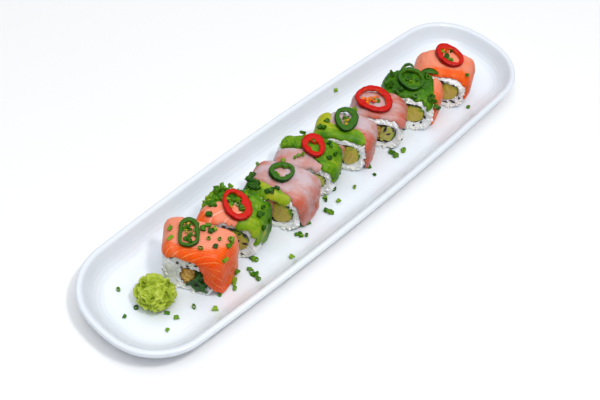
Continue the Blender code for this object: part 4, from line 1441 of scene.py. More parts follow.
@dataclass
class ChilliRing:
    """A ring cut from a chilli, settled on its slice.

    Args:
        form: The slice that it lies on.
        node: The CAD node that it replaces.
        finish: Red or green.
        half_size: Half its length and half its width.
        turn: Its turn on the slice, in degrees.
        tilt: Its tilt about x and y, in degrees.
        wall: Thickness of its flesh.
        uneven: How far that thickness changes round it, as a share, and where it is thickest.
        waist: How far it narrows in the middle of its long sides.
        bosses: (angle, reach, width) of the lumps of flesh that stand into its hole.
        mash: (angle, reach, spread, count, tone) of the heaps of seed and membrane in it.
        settle: How closely it follows the topping under it.
        sink: How far it is let down.
    """

    form: SliceForm
    node: str
    finish: Chilli
    half_size: tuple[float, float]
    turn: float
    tilt: tuple[float, float]
    wall: float = 2.6
    uneven: tuple[float, float] = (0.18, 0.0)
    waist: float = 0.0
    bosses: tuple = ()
    mash: tuple = ()
    settle: float = 0.75
    depth: float = 3.2
    sink: float = 0.0
    seed: int = 0

    def reach(self, angle: np.ndarray, inset: np.ndarray) -> np.ndarray:
        """The ring's outline at these angles, brought in by an inset."""
        lobes = 1 + 0.030 * np.sin(3 * angle + self.seed) - self.waist * np.exp(-((np.abs(np.sin(angle)) - 1.0) ** 2) / 0.02)
        x = (self.half_size[0] * lobes - inset) * np.cos(angle)
        y = (self.half_size[1] * lobes - inset) * np.sin(angle)
        return np.stack([x, y], axis=-1)

    def settled(self, flat: np.ndarray) -> np.ndarray:
        """Points of the ring's own plane, laid on the topping."""
        low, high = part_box(self.node)
        middle = np.array((low + high) / 2) / MM - [0.0, 0.0, self.sink]
        angles = [math.radians(a) for a in (*self.tilt, self.turn)]
        spin = Matrix.Rotation(angles[2], 3, "Z") @ Matrix.Rotation(angles[1], 3, "Y") @ Matrix.Rotation(angles[0], 3, "X")
        own = flat @ np.array(spin).T
        back = math.radians(-self.form.turn)
        centre = (middle - self.form.origin) @ np.array(Matrix.Rotation(back, 3, "Z")).T
        local = own + centre
        if self.settle:
            lain = self.form.top(local[..., 0], local[..., 1]) + flat[..., 2] + self.depth / 2 - 0.3
            local[..., 2] += np.clip(lain - local[..., 2], -4.5, 1.5) * self.settle
        return self.form.place(local)

    def build(self) -> bpy.types.Object:
        """The wall of the ring and what is left inside it, as one piece."""
        draw = np.random.default_rng(500 + self.seed)
        shape = Shape()
        angles = TAU * np.arange(110) / 110
        amount, thickest = self.uneven
        bulk = self.wall * (1 + amount * np.cos(angles - math.radians(thickest)) + 0.07 * np.sin(7 * angles + draw.uniform(0, TAU)))
        for angle, reach, width in self.bosses:
            away = np.angle(np.exp(1j * (angles - math.radians(angle))))
            bulk = bulk + reach * np.exp(-((away / math.radians(width)) ** 2))
        section, tones = [], []
        steps = 24
        for k in range(steps):
            phase = TAU * k / steps
            out = float(signed_power(np.array(math.cos(phase)), 0.55))
            up = float(signed_power(np.array(math.sin(phase)), 0.45))
            rim = self.reach(angles, bulk * (1 - out) / 2)
            thin = 1.0 - 0.35 * smooth_step(bulk * (1 - out) / 2, self.wall * 0.9, self.wall * 2.0)
            section.append(np.column_stack([rim, up * self.depth / 2 * thin]))
            skin = 1 - smooth_step(np.array(out), 0.55, 0.95)
            tones.append(np.full(len(angles), 0.04 + 0.46 * skin) + 0.20 * smooth_step(-np.array(out), 0.5, 1.0))
        grid = np.stack(section)
        grid[..., 2] += 0.20 * Wobble(4.0, 60 + self.seed).at(grid)
        grid[..., :2] *= (1 + 0.012 * Wobble(5.0, 80 + self.seed).at(grid))[..., None]
        shape.add_grid(self.settled(grid), wrap_rows=True, wrap_columns=True, tone=np.stack(tones))
        for heap in self.mash:
            self.add_mash(shape, draw, *heap)
        return shape.build(f"{self.node}_ring", self.finish, self.slot(), (self.node,))

    def slot(self) -> str:
        """The record's slot for its colour."""
        return "red_chilli" if self.finish is RED else "green_chilli"

    def add_mash(
        self, shape: Shape, draw: np.random.Generator, angle: float, out: float, spread: float, count: int, tone: float
    ) -> None:
        """A heap of torn membrane and seeds.

        Args:
            shape: Where it goes.
            draw: The source of its differences.
            angle: Where it lies round the ring, in degrees.
            out: How far out it lies, as a share of the ring.
            spread: How far it spreads, in millimetres.
            count: How many bits it holds.
            tone: Their tone.
        """
        template, faces = grain_template(8, 5)
        middle = self.reach(np.array([math.radians(angle)]), np.zeros(1))[0] * out
        for _ in range(count):
            spot = middle + draw.normal(0.0, spread / 2, 2)
            half = np.array([1.5, 1.0, 0.7]) * draw.uniform(0.6, 1.15, 3)
            turn = frames_from(unit(np.array([[0.0, 0.0, 1.0]]) + draw.normal(0.0, 0.3, (1, 3))), draw.uniform(0, TAU, 1))[0]
            ball = template * (1 + 0.22 * Wobble(0.8, int(draw.integers(1, 900)), 6).at(template * half))[:, None]
            points = (ball * half) @ turn.T + [spot[0], spot[1], draw.uniform(-1.1, 0.5)]
            shape.add(self.settled(points), faces, tone=tone + draw.normal(0.0, 0.10))


def rings_of(forms: dict[int, SliceForm]) -> list[ChilliRing]:
    """Every chilli ring, slice by slice."""
    rows = [
        (1, "chilli_1", GREEN, (10.7, 8.4), 19, (-2, -12), dict(
            waist=0.17, wall=2.7, mash=((0, 0.45, 4.0, 14, 0.45), (180, 0.45, 4.0, 14, 0.5), (0, 0.1, 6.0, 14, 0.65), (30, 0.4, 5.0, 6, 1.0)))),
        (2, "chilli_2", RED, (12.6, 9.3), 44, (3, -10), dict(
            wall=3.9, uneven=(0.28, 200), bosses=((255, 2.4, 22), (80, 1.0, 20)), mash=((75, 0.55, 1.2, 3, 1.0),))),
        (3, "chilli_3", GREEN, (9.2, 7.4), 106, (2, -8), dict(
            wall=3.0, bosses=((20, 2.6, 14), (60, 1.6, 12), (150, 0.8, 15), (250, 1.0, 18)), mash=((40, 0.55, 1.5, 4, 0.85),))),
        (4, "chilli_4", RED, (10.2, 8.5), 25, (4, -9), dict(
            wall=4.6, bosses=((300, 1.6, 18), (120, 1.0, 20)), mash=((330, 0.35, 1.4, 3, 0.2),))),
        (5, "chilli_5", GREEN, (10.6, 8.9), 8, (2, -12), dict(
            wall=4.4, uneven=(0.25, 230), bosses=((100, 1.4, 14), (250, 1.6, 16)),
            mash=((190, 0.30, 2.5, 9, 0.85), (20, 0.1, 3.0, 7, 0.6), (180, 0.15, 2.0, 3, 1.0)))),
        (6, "chilli_6", RED, (14.8, 11.8), 67, (-8, -5), dict(
            wall=4.5, uneven=(0.18, 210), bosses=((60, 1.8, 16),),
            mash=((50, 0.40, 4.0, 16, 0.88), (20, 0.12, 3.0, 10, 0.9), (250, 0.15, 2.5, 6, 0.85)))),
        (7, "chilli_7", GREEN, (11.2, 9.8), 55, (0, -10), dict(wall=2.9, bosses=((100, 1.2, 18),), mash=((0, 0.1, 4.0, 6, 0.4),))),
        (7, "chilli_7_small", GREEN, (6.4, 4.8), 150, (0, 26), dict(wall=1.8, settle=0.0, sink=4.6)),
        (8, "chilli_8", RED, (12.6, 9.2), 55, (4, -8), dict(
            wall=3.6, bosses=((60, 1.2, 12), (330, 1.6, 25)), mash=((330, 0.45, 2.0, 4, 0.8),))),
    ]
    return [
        ChilliRing(forms[number], node, finish, half, turn, tilt, seed=k + 1, **more)
        for k, (number, node, finish, half, turn, tilt, more) in enumerate(rows)
    ]


# ------------------------------------------------------------------ chopped herbs and specks
@dataclass
class Chives:
    """Chopped chives: short hollow tubes, each with its own size and green."""

    long: tuple[float, float] = (1.6, 4.2)
    radius: tuple[float, float] = (1.2, 1.9)
    skin: float = 0.45
    around: int = 12

    def bit(
        self, shape: Shape, spot: np.ndarray, normal: np.ndarray, draw: np.random.Generator,
        length: float = 0.0, standing: bool | None = None, tone: float = -1.0, heading: float = -10.0,
    ) -> None:
        """Adds one bit lying or standing on a surface.

        Args:
            shape: Where it goes.
            spot: The point that it rests on, in the platter's frame.
            normal: Which way is up off that surface.
            draw: The source of its differences.
            length: Its length, or 0 to draw one.
            standing: True for a ring on its end, None to draw it.
            tone: Its tone, or below 0 to draw one.
            heading: Which way it points, or -10 to draw it.
        """
        length = length or draw.uniform(*self.long)
        radius = draw.uniform(*self.radius)
        if standing is None:
            standing = bool(draw.random() < 0.45)
        if standing:
            length = min(length, 2.4)
        flat = draw.uniform(0.62, 0.95)
        angle = TAU * np.arange(self.around) / self.around
        profile = [(radius, -0.5), (radius * 1.03, 0.0), (radius, 0.5)]
        profile += [(radius - self.skin, 0.5), (radius - self.skin, -0.5)]
        slant = draw.uniform(-0.35, 0.35, 2)
        rings = []
        for out, end in profile:
            y, z = out * np.cos(angle), out * np.sin(angle) * flat
            x = length * end + (slant[0] * y + slant[1] * z) * (1 if end > 0 else -1 if end < 0 else 0)
            rings.append(np.stack([x, y, z], axis=-1))
        grid = np.stack(rings)
        grid[..., 2] += draw.uniform(-0.03, 0.03) * grid[..., 0] ** 2
        heading = draw.uniform(0.0, TAU) if heading < -9 else heading
        turn = frames_from(normal[None], np.array([heading]))[0]
        if standing:
            grid = grid[..., [2, 1, 0]] * [1.0, 1.0, -1.0]
            height = length / 2
        else:
            height = radius * flat
        points = grid @ turn.T + spot + normal * (height - 0.12)
        tone = draw.uniform(0.1, 1.0) if tone < 0 else tone
        inner = np.repeat([0.0, 0.0, 0.0, 0.25, 0.25], self.around)
        shape.add_grid(points, wrap_rows=True, wrap_columns=True, tone=np.clip(tone + inner, 0.0, 1.1))


@dataclass
class Platter:
    """The long white platter."""

    length: float = 420.0
    width: float = 111.4
    long_bow: float = 4.3
    end_bow: float = 0.5
    corner: float = 44.5
    section: tuple = (
        (27.5, 1.5), (27.1, 0.5), (26.5, 0.0), (23.0, 0.0), (22.3, 0.4), (21.5, 2.0), (18.5, 3.1), (14.0, 4.7),
        (9.5, 7.2), (6.0, 10.0), (3.0, 13.2), (1.0, 16.4), (0.15, 18.6), (0.0, 20.0), (0.25, 21.1), (0.9, 21.8),
        (1.9, 22.0), (3.2, 21.9), (4.4, 21.3), (5.3, 20.2), (6.6, 17.9), (8.2, 15.0), (10.2, 12.1), (12.6, 9.8),
        (15.6, 8.0), (18.6, 7.0), (22.0, 6.55), (26.0, 6.5),
    )
    corner_steps: int = 30
    side_steps: int = 40
    end_steps: int = 14
    floor: float = 6.5

    def outline(self, inset: float, height: float) -> np.ndarray:
        """The platter's outline at an inset from its rim: four bowed sides and four round corners."""
        corner = self.corner - inset
        x = self.length / 2 - self.corner - self.end_bow
        y = self.width / 2 - self.corner - self.long_bow
        corners = np.array([(x, -y), (x, y), (-x, y), (-x, -y)])
        bows = [self.end_bow, self.long_bow] * 2
        steps = [self.end_steps, self.side_steps] * 2
        arcs = []
        for i in range(4):
            start, end = corners[i], corners[(i + 1) % 4]
            half = np.linalg.norm(end - start) / 2
            radius = (half**2 + bows[i] ** 2) / (2 * bows[i])
            along = (end - start) / (2 * half)
            centre = (start + end) / 2 - np.array([along[1], -along[0]]) * (radius - bows[i])
            first = math.atan2(*(start - centre)[::-1])
            last = math.atan2(*(end - centre)[::-1])
            arcs.append((centre, radius, first, last + (TAU if last < first else 0.0)))
        points = []
        for i, (centre, radius, first, last) in enumerate(arcs):
            angles = np.linspace(first, last, steps[i], endpoint=False)
            points.append(centre + (radius + corner) * np.column_stack([np.cos(angles), np.sin(angles)]))
            turn_end = arcs[(i + 1) % 4][2]
            turn_end += TAU if turn_end < last else 0.0
            angles = np.linspace(last, turn_end, self.corner_steps, endpoint=False)
            points.append(corners[(i + 1) % 4] + corner * np.column_stack([np.cos(angles), np.sin(angles)]))
        flat = np.concatenate(points)
        return np.column_stack([flat, np.full(len(flat), height)])

    def height(self, x: float, y: float) -> float:
        """Height of the platter's upper surface near its long sides."""
        bow = self.long_bow * (1 - (x / (self.length / 2 - self.corner)) ** 2)
        inset = self.width / 2 - self.long_bow + bow - abs(y)
        inner = self.section[16:]
        return float(np.interp(inset, [i for i, _ in inner], [h for _, h in inner]))

    def build(self) -> bpy.types.Object:
        """One closed skin from under the foot, over the rim and in to the floor."""
        section = np.array(self.section)
        run = np.concatenate([[0.0], np.cumsum(np.linalg.norm(np.diff(section, axis=0), axis=1))])
        fine = np.unique(np.concatenate([run, np.linspace(0.0, run[-1], 60)]))
        insets, heights = (np.interp(fine, run, section[:, k]) for k in (0, 1))
        rings = [self.outline(inset, height) for inset, height in zip(insets, heights)]
        middle = rings[-1].mean(0)
        for share in (0.8, 0.5, 0.2):
            rings.append(rings[len(fine) - 1] * share + middle * (1 - share))
        under = rings[0]
        grid = np.stack([under * 0.3 + under.mean(0) * 0.7, under * 0.7 + under.mean(0) * 0.3, *rings])
        shape = Shape()
        shape.add_tube(grid)
        return shape.build("glazed_platter", Glaze(), "porcelain", ("platter",))


@dataclass
class Wasabi:
    """The squeezed mound of wasabi with its ruffles."""

    around: int = 260
    rings: int = 120

    def build(self) -> bpy.types.Object:
        """A mound drawn up into thin uneven crests with deep folds between them."""
        low, high = (np.array(corner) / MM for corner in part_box("wasabi"))
        centre, half = (low + high) / 2, (high - low) / 2
        polar = np.linspace(0.02, math.pi - 0.02, self.rings)[:, None]
        angle = (TAU * np.arange(self.around) / self.around)[None, :]
        ball = np.stack(
            [np.sin(polar) * np.cos(angle), np.sin(polar) * np.sin(angle), np.cos(polar) * np.ones_like(angle)], axis=-1
        )
        mound = ball * (half - [1.3, 1.3, 0.9])
        warp = np.stack([Wobble(9.0, seed).at(mound) for seed in (1, 2, 3)], axis=-1)
        folds = 1 - np.abs(Wobble(8.5, 4, 8).at(mound + 1.6 * warp)) * 1.5
        ruffle = 1 - np.abs(Wobble(3.6, 5, 12).at(mound + 1.0 * warp)) * 1.5
        fold = np.clip(0.55 * np.clip(folds, -0.6, 1.0) + 0.45 * np.clip(ruffle, -0.5, 1.0), -0.5, 1.0)
        lifted = mound + ball * (fold * 2.3)[..., None]
        lifted[..., 2] = np.maximum(lifted[..., 2], -half[2])
        lifted = np.clip(lifted, -half * 1.04, half * 1.04)
        shape = Shape()
        # The fold value carries painted shade into the creases and painted light onto the crests.
        shape.add_tube(lifted + centre, fold=np.clip(fold * 0.75 + 0.35, 0.0, 1.0))
        return shape.build("wasabi_mound", Paste(), "wasabi", ("wasabi",))


# ------------------------------------------------------------------ garnish
@dataclass
class Garnish:
    """The loose chives on the platter and on the slices, and the specks on the rice."""

    forms: dict[int, SliceForm]
    platter: Platter
    # Loose bits on the platter: x, y, and how many lie together there.
    loose: tuple = (
        (-174, 23, 1), (-175, 4, 1), (-185, 4, 1), (-163, -13, 1), (-161, -20, 1), (-172, -23, 1), (-147, -22, 1),
        (-138, -33, 1), (-128, -27, 1), (-117, -30, 1), (-121, -25, 1), (-90, -19, 2), (-89, -23, 1), (-97, -27, 2),
        (-99, -31, 3), (-100, -35, 2), (-70, -39, 1), (-52, -28, 3), (-48, -31, 3), (-48, -20, 1), (-14, -19, 2),
        (-7, -27, 1), (-21, -28, 4), (-18, -31, 3), (12, -26, 1), (-1, -17, 1), (33, -28, 1), (36, -20, 1),
        (68, -26, 3), (60, -27, 4), (58, -22, 3), (144, -33, 1), (71, 47, 1),
    )
    # Bits on the toppings: slice, way round it, share of its thickness, how many, spread and tone.
    laid: tuple = (
        (1, 0.70, 0.60, 1, 0.0, 0.75), (1, 0.67, 0.32, 1, 0.0, 0.8), (1, 0.48, 0.20, 1, 0.0, 0.5), (1, 0.50, 0.91, 2, 1.5, 0.5),
        (1, 0.48, 0.75, 2, 1.5, 0.4), (1, 0.46, 0.53, 1, 0.0, 0.7), (1, 0.45, 0.84, 1, 0.0, 0.7), (1, 0.38, 0.62, 1, 0.0, 0.5),
        (1, 0.40, 0.37, 2, 2.0, 0.1), (1, 0.26, 0.76, 3, 2.0, 0.6), (1, 0.25, 0.57, 1, 0.0, 0.5), (1, 0.17, 0.24, 1, 0.0, 0.8),
        (1, -0.60, 0.75, 2, 2.0, 0.6), (1, -0.85, 0.60, 3, 3.0, 0.8),
        (2, 0.63, 0.09, 1, 0.0, 0.2), (2, 0.64, 0.37, 4, 3.0, 0.3), (2, 0.58, 0.99, 2, 2.0, 0.8), (2, 0.56, 0.64, 3, 1.5, 0.5),
        (2, 0.52, 0.55, 4, 2.2, 0.5), (2, 0.49, 0.46, 4, 2.2, 0.6), (2, 0.45, 0.40, 4, 2.2, 0.5), (2, 0.66, 0.85, 8, 6.0, 0.5),
        (2, 0.20, 0.60, 3, 7.0, 0.2), (2, 0.10, 0.45, 3, 7.0, 0.2),
        (3, 0.77, 0.85, 1, 0.0, 0.5), (3, 0.75, 0.37, 6, 3.0, 0.1), (3, 0.66, 0.20, 8, 4.0, 0.1), (3, 0.58, 0.10, 8, 5.0, 0.15),
        (3, 0.64, 0.08, 6, 3.0, 0.1), (3, 0.82, 0.45, 5, 3.0, 0.3), (3, 0.49, 0.60, 1, 0.0, 0.0),
        (4, 0.57, 0.15, 1, 0.0, 0.8), (4, 0.545, 0.22, 1, 0.0, 0.8), (4, 0.52, 0.28, 1, 0.0, 0.8), (4, 0.69, 0.07, 1, 0.0, 0.6),
        (4, 0.56, 0.98, 1, 0.0, 0.3), (4, 0.48, 0.80, 2, 1.2, 0.5), (4, 0.35, 0.79, 2, 2.0, 0.1), (4, 0.30, 0.45, 2, 4.0, 0.1),
        (5, 0.72, 0.35, 2, 1.5, 0.2), (5, 0.64, 0.26, 2, 1.5, 0.2), (5, 0.66, 0.60, 2, 2.0, 0.3),
        (6, 0.76, 0.31, 2, 1.2, 0.95), (6, 0.51, 0.56, 2, 1.0, 0.4), (6, 0.47, 0.56, 2, 1.0, 0.6),
        (7, 0.73, 0.84, 2, 3.0, 0.1), (7, 0.73, 0.43, 4, 4.0, 0.2), (7, 0.64, 0.18, 4, 4.0, 0.2), (7, 0.56, 0.32, 2, 3.0, 0.1),
        (7, 0.62, 0.08, 5, 4.0, 0.15), (7, 0.51, 0.64, 3, 3.0, 0.3), (7, 0.52, 0.04, 4, 3.0, 0.2), (7, 0.30, 0.20, 6, 5.0, 0.1),
        (7, 0.12, 0.22, 4, 3.0, 0.4), (7, 0.42, 0.90, 3, 2.0, 0.3),
        (8, 0.54, 0.86, 2, 1.0, 0.9), (8, 0.51, 0.74, 3, 1.2, 0.2), (8, 0.48, 0.60, 2, 1.0, 0.6), (8, 0.49, 0.94, 1, 0.0, 0.0),
        (8, 0.26, 0.27, 1, 0.0, 0.5),
    )
    # Dark bits on the near cut faces: slice, left, up, half their width and height, and tone.
    scraps: tuple = (
        (1, 13, 31, 1.3, 0.6, 0.7), (1, 9, 27, 1.0, 0.7, 0.5), (1, 4, 33, 1.5, 0.5, 0.6), (1, 0, 31, 1.6, 0.6, 0.4),
        (1, 2, 26, 1.0, 0.8, 0.6), (1, -4, 29, 1.8, 0.5, 0.2), (1, -13, 22, 1.6, 1.2, 0.1), (1, 6, 23, 0.9, 0.6, 0.8),
        (2, 2, 23, 2.6, 1.2, 0.6), (2, -8, 17, 1.6, 2.2, 0.2), (2, -13, 24, 2.0, 1.0, 0.1), (2, -3, 13, 2.2, 1.0, 0.5),
        (2, 2, 30, 1.6, 1.2, 0.1), (2, -5, 29, 1.2, 0.8, 0.0), (2, -1, 20, 3.2, 2.6, 0.0), (2, -13, 16, 2.2, 1.3, 0.0),
        (2, -5, 10, 1.2, 2.0, 0.1), (2, 4, 26, 1.0, 0.8, 0.1), (2, -9, 25, 1.4, 0.6, 0.0), (2, -12, 4, 1.6, 1.0, 0.3),
        (3, 3, 9, 1.2, 0.8, 0.5), (4, -4, 22, 1.2, 0.8, 0.4), (5, 3, 6, 2.2, 1.2, 0.0), (5, 0, 5, 1.6, 0.9, 0.1),
        (6, -5, 19, 1.0, 3.4, 0.0), (6, -8, 15, 2.0, 1.1, 0.0), (6, -7, 7, 1.9, 1.2, 0.0), (6, -19, 22, 1.2, 0.8, 0.0),
        (6, -13, -0.5, 2.0, 1.0, 0.0), (6, -19, 11, 0.6, 0.8, 0.2), (6, -2, 10, 0.8, 0.8, 0.5), (6, -12, 19, 1.4, 0.6, 0.5),
        (7, -15, 15, 1.1, 1.6, 0.0), (7, 2, 6, 1.4, 1.0, 0.0), (7, -8, 4, 1.2, 0.8, 0.2), (7, -13, 9, 1.0, 1.0, 0.1),
        (8, -17, 10, 1.2, 3.0, 0.0), (8, -12, 6, 3.0, 1.0, 0.0), (8, 3, 6, 1.4, 1.0, 0.3), (8, -6, 5, 2.4, 0.7, 0.0),
    )

    def build_loose(self) -> bpy.types.Object:
        """The chives scattered on the platter."""
        draw = np.random.default_rng(77)
        shape, chives = Shape(), Chives(long=(1.8, 3.6))
        up = np.array([0.0, 0.0, 1.0])
        for x, y, count in self.loose:
            for k in range(count):
                side = draw.normal(0.0, 1.3, 2) * (count > 1)
                spot = np.array([x + side[0], y + side[1], 0.0])
                spot[2] = self.platter.height(spot[0], spot[1]) + 0.4 * k * draw.random()
                chives.bit(shape, spot, up, draw)
        start, angle = np.array([-42.0, -24.0, self.platter.floor]), 1.15
        chives.bit(shape, start, up, draw, length=11.0, standing=False, tone=0.35, heading=angle)
        return shape.build("chives_on_platter", Herb(), "leaf")

    def build_laid(self) -> bpy.types.Object:
        """The chives strewn over the toppings."""
        draw = np.random.default_rng(78)
        shape, chives = Shape(), Chives()
        for number, way, share, count, spread, tone in self.laid:
            form = self.forms[number]
            for _ in range(count):
                step = draw.normal(0.0, spread / 2, 2)
                spot, normal = self.on_slice(form, way + step[0] / 45.0, share * form.thick + step[1])
                shade = float(np.clip(tone + draw.normal(0.0, 0.15), 0.0, 1.0))
                chives.bit(shape, spot, normal, draw, tone=shade)
        return shape.build("chives_on_slices", Herb(), "leaf")

    def on_slice(self, form: SliceForm, way: float, run: float) -> tuple[np.ndarray, np.ndarray]:
        """A point of the toppings' outer surface and which way is out from it."""
        ways = np.array([way, way + 0.01, way])
        runs = np.array([run, run, run + 0.2])
        spot, along_way, along_run = form.laid(ways, runs, np.full(3, form.topping + form.lift - 0.1))
        normal = unit(np.cross(along_run - spot, along_way - spot))
        return form.place(spot), form.turned(normal * (1 if normal[2] > -0.3 else -1))

    def build_specks(self) -> bpy.types.Object:
        """Sesame and scraps of nori on the cut faces."""
        draw = np.random.default_rng(79)
        shape = Shape()
        template, faces = grain_template(10, 7)
        for number, left, up, wide, tall, tone in self.scraps:
            half = np.array([0.7, wide, tall])
            lumpy = template * (1 + 0.25 * Wobble(1.4, int(draw.integers(1, 900)), 6).at(template * half))[:, None]
            turn = np.array(Matrix.Rotation(draw.uniform(-0.5, 0.5), 3, "X"))
            points = (lumpy * half) @ turn.T + [-0.9, left, up]
            shape.add(self.forms[number].place(points), faces, tone=tone)
        for number, form in self.forms.items():
            for _ in range(3):
                angle, out = draw.uniform(0.0, TAU), draw.uniform(0.2, 0.9)
                inner = form.core_edge(np.array([angle]), 1.0, 0.0)[0]
                outer = form.rice(np.array([angle]), np.array([1.0]), np.array([0.95]))[0]
                half = np.array([1.1, 0.7, 0.45]) * draw.uniform(0.6, 1.1)
                turn = frames_from(np.array([[1.0, 0.0, 0.0]]), draw.uniform(0, TAU, 1))[0]
                points = (template * half) @ turn.T + inner + (outer - inner) * out + [0.6, 0.0, 0.0]
                shape.add(form.place(points), faces, tone=draw.uniform(0.0, 0.9))
        return shape.build("dark_specks", Speck(), "nori")

    def build_leaves(self) -> bpy.types.Object:
        """The leaf strands that hang out of the first slice's core."""
        draw = np.random.default_rng(80)
        form, shape = self.forms[1], Shape()
        strands = [
            ((-11.0, 21.0), (3.0, 5.0), 1.8), ((-12.5, 15.0), (-4.0, 1.0), 1.5), ((-9.0, 14.0), (-12.0, 1.5), 1.3),
            ((-3.0, 17.0), (-10.0, 8.0), 1.4), ((-1.0, 10.0), (-7.0, 3.0), 1.6), ((-7.0, 22.0), (-2.0, 12.0), 1.2),
            ((-5.0, 9.0), (-13.0, 4.0), 1.2), ((-12.0, 19.0), (-14.5, 8.0), 1.2),
        ]
        for (left_a, up_a), (left_b, up_b), half in strands:
            along = np.linspace(0.0, 1.0, 22)[:, None]
            spine = np.array([[left_a, up_a]]) * (1 - along) + np.array([[left_b, up_b]]) * along
            across = np.array([-(up_b - up_a), left_b - left_a])
            across /= np.linalg.norm(across)
            spine = spine + across * np.sin(along * math.pi) * draw.uniform(-1.5, 1.5)
            out = 1.0 + 1.3 * np.sin(along[:, 0] * math.pi) * draw.uniform(0.6, 1.2)
            turn = TAU * np.arange(10) / 10
            rings = []
            for point, far, t in zip(spine, out, along[:, 0]):
                width = half * (1 - 0.85 * abs(2 * t - 1) ** 3)
                flat = point + across * (np.cos(turn) * width)[:, None]
                fold = 0.55 * np.abs(np.cos(turn)) + 0.28 * np.sin(turn)
                rings.append(np.column_stack([-far - fold, flat]))
            tone = np.full((22, 10), draw.uniform(0.05, 0.45)) + 0.15 * np.cos(turn)[None, :]
            shape.add_tube(form.place(np.stack(rings)), tone=np.clip(tone, 0.0, 1.0))
        return shape.build("leaf_strands", Herb(name="leaf_strand", green=(0.030, 0.140, 0.010)), "leaf")


@dataclass
class Sliver:
    """The pointed green sliver on the last slice."""

    def build(self) -> bpy.types.Object:
        """A thin bowed wedge with a blunt end and a pointed one."""
        low, high = (np.array(corner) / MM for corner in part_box("green_sliver"))
        centre = (low + high) / 2
        heading = math.radians(35 + 90 + 6)
        along = np.linspace(-1.0, 1.0, 30)
        turn = TAU * np.arange(16) / 16
        rings = []
        for t in along:
            half = 2.9 * max(1 - abs(t) ** 2.2, 0.0) ** 0.6 + 0.05
            side = -0.25 * 3.2 * (1 - t * t) + half * np.cos(turn)
            rise = 1.0 * (half / 2.9) * np.sin(turn) - 1.6 * t * t
            rings.append(np.column_stack([np.full(16, 7.2 * t), side, rise]))
        grid = np.stack(rings)
        spin = np.array(Matrix.Rotation(heading, 3, "Z"))
        shape = Shape()
        tone = np.broadcast_to(0.35 + 0.3 * np.cos(turn)[None, :], grid.shape[:2])
        shape.add_tube(grid @ spin.T + centre + [0.0, 0.0, -0.6], tone=tone)
        return shape.build("green_sliver_leaf", GREEN, "green_chilli", ("green_sliver",))


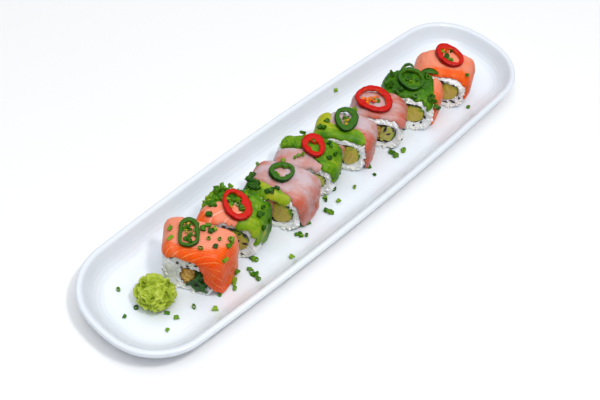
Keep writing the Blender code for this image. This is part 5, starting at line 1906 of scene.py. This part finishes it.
# ------------------------------------------------------------------ studio
@dataclass
class Studio:
    """The pale table, the soft lights and the camera."""

    distance: float = 0.7685
    heading: float = 37.58
    elevation: float = 49.72
    roll: float = 7.23
    lens: float = 62.17
    aim: tuple[float, float] = (-0.022, -0.003)

    def build(self) -> None:
        """Puts the studio round the platter."""
        low, high = CAD_BOX
        middle = (low + high) / 2
        self.table(low.z)
        target = Vector((middle.x + self.aim[0], middle.y + self.aim[1], low.z))
        self.camera(target)
        self.light("key", (-0.07, -0.52, 1.22), target, 0.14, 5.6, (1.0, 0.985, 0.96))
        self.light("second", (-0.50, -0.30, 1.16), target, 0.45, 2.2, (0.97, 0.985, 1.0))
        world = bpy.data.worlds.new("soft_room")
        world.use_nodes = True
        tree = world.node_tree
        back = tree.nodes["Background"]
        up = tree.nodes.new("ShaderNodeSeparateXYZ")
        tree.links.new(tree.nodes.new("ShaderNodeTexCoord").outputs["Generated"], up.inputs[0])
        sky = tree.nodes.new("ShaderNodeMapRange")
        sky.interpolation_type = "SMOOTHSTEP"
        for value, socket in zip((0.50, 1.0, 0.10, 1.65), list(sky.inputs)[1:5]):
            socket.default_value = value
        tree.links.new(up.outputs["Z"], sky.inputs[0])
        tree.links.new(sky.outputs[0], back.inputs["Strength"])
        back.inputs["Color"].default_value = (0.95, 0.975, 1.0, 1.0)
        bpy.context.scene.world = world
        bpy.context.scene.view_settings.view_transform = "Standard"

    def table(self, height: float) -> None:
        """A wide pale table under the foot."""
        ticks = np.linspace(-3000.0, 3000.0, 9)
        x, y = np.meshgrid(ticks, ticks)
        mesh = bpy.data.meshes.new("table")
        points = np.column_stack([x.ravel(), y.ravel(), np.full(x.size, height / MM - 0.05)]) * MM
        mesh.from_pydata(points.tolist(), [], grid_faces(9, 9, False, False).tolist())
        mesh.materials.append(Backdrop().material())
        table = bpy.data.objects.new("table", mesh)
        bpy.context.scene.collection.objects.link(table)
        table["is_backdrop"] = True

    def camera(self, target: Vector) -> None:
        """The camera, looking down along the platter."""
        heading, tilt = math.radians(self.heading), math.radians(self.elevation)
        look = Vector((math.cos(heading) * math.cos(tilt), math.sin(heading) * math.cos(tilt), -math.sin(tilt)))
        lens = bpy.data.cameras.new("camera")
        lens.lens = self.lens
        lens.sensor_width = 36.0
        lens.clip_start, lens.clip_end = 0.01, 20.0
        camera = bpy.data.objects.new("camera", lens)
        turn = look.to_track_quat("-Z", "Y").to_matrix() @ Matrix.Rotation(math.radians(self.roll), 3, "Z")
        camera.matrix_world = Matrix.Translation(target - look * self.distance) @ turn.to_4x4()
        bpy.context.scene.collection.objects.link(camera)
        bpy.context.scene.camera = camera

    def light(self, name: str, place: tuple, target: Vector, size: float, power: float, colour: Colour) -> None:
        """A soft square light aimed at the platter."""
        lamp = bpy.data.lights.new(name, "AREA")
        lamp.size = size
        lamp.energy = power
        lamp.color = colour
        made = bpy.data.objects.new(name, lamp)
        made.location = Vector(place)
        made.rotation_euler = (target - made.location).to_track_quat("-Z", "Y").to_euler()
        bpy.context.scene.collection.objects.link(made)


def write_sizes() -> None:
    """Puts the CAD box and the dressed model's box side by side; nothing is written or kept."""
    boxes = {"cad": CAD_BOX, "visual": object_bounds()}
    {name: [list(low), list(high)] for name, (low, high) in boxes.items()}


def main() -> None:
    """Builds the dressed platter, piece by piece."""
    logging.basicConfig(level=logging.INFO, format="%(name)s: %(message)s")
    forms = {form.number: form for form in SLICES}
    for form in forms.values():
        form.seat()
    platter = Platter()
    platter.build()
    Wasabi().build()
    drapes = drapes_of(forms)
    for number, form in forms.items():
        Rice(form, [drape for drape in drapes if drape.form is form]).build()
        core = Core(form, *CORE_FILLS[number])
        core.build_nori()
        core.build_filling("left", core.left)
        core.build_filling("right", core.right)
    for drape in drapes:
        drape.build()
    for ring in rings_of(forms):
        ring.build()
    Sliver().build()
    garnish = Garnish(forms, platter)
    garnish.build_loose()
    garnish.build_laid()
    garnish.build_specks()
    garnish.build_leaves()
    Studio().build()
    write_sizes()


if __name__ == "__main__":
    main()
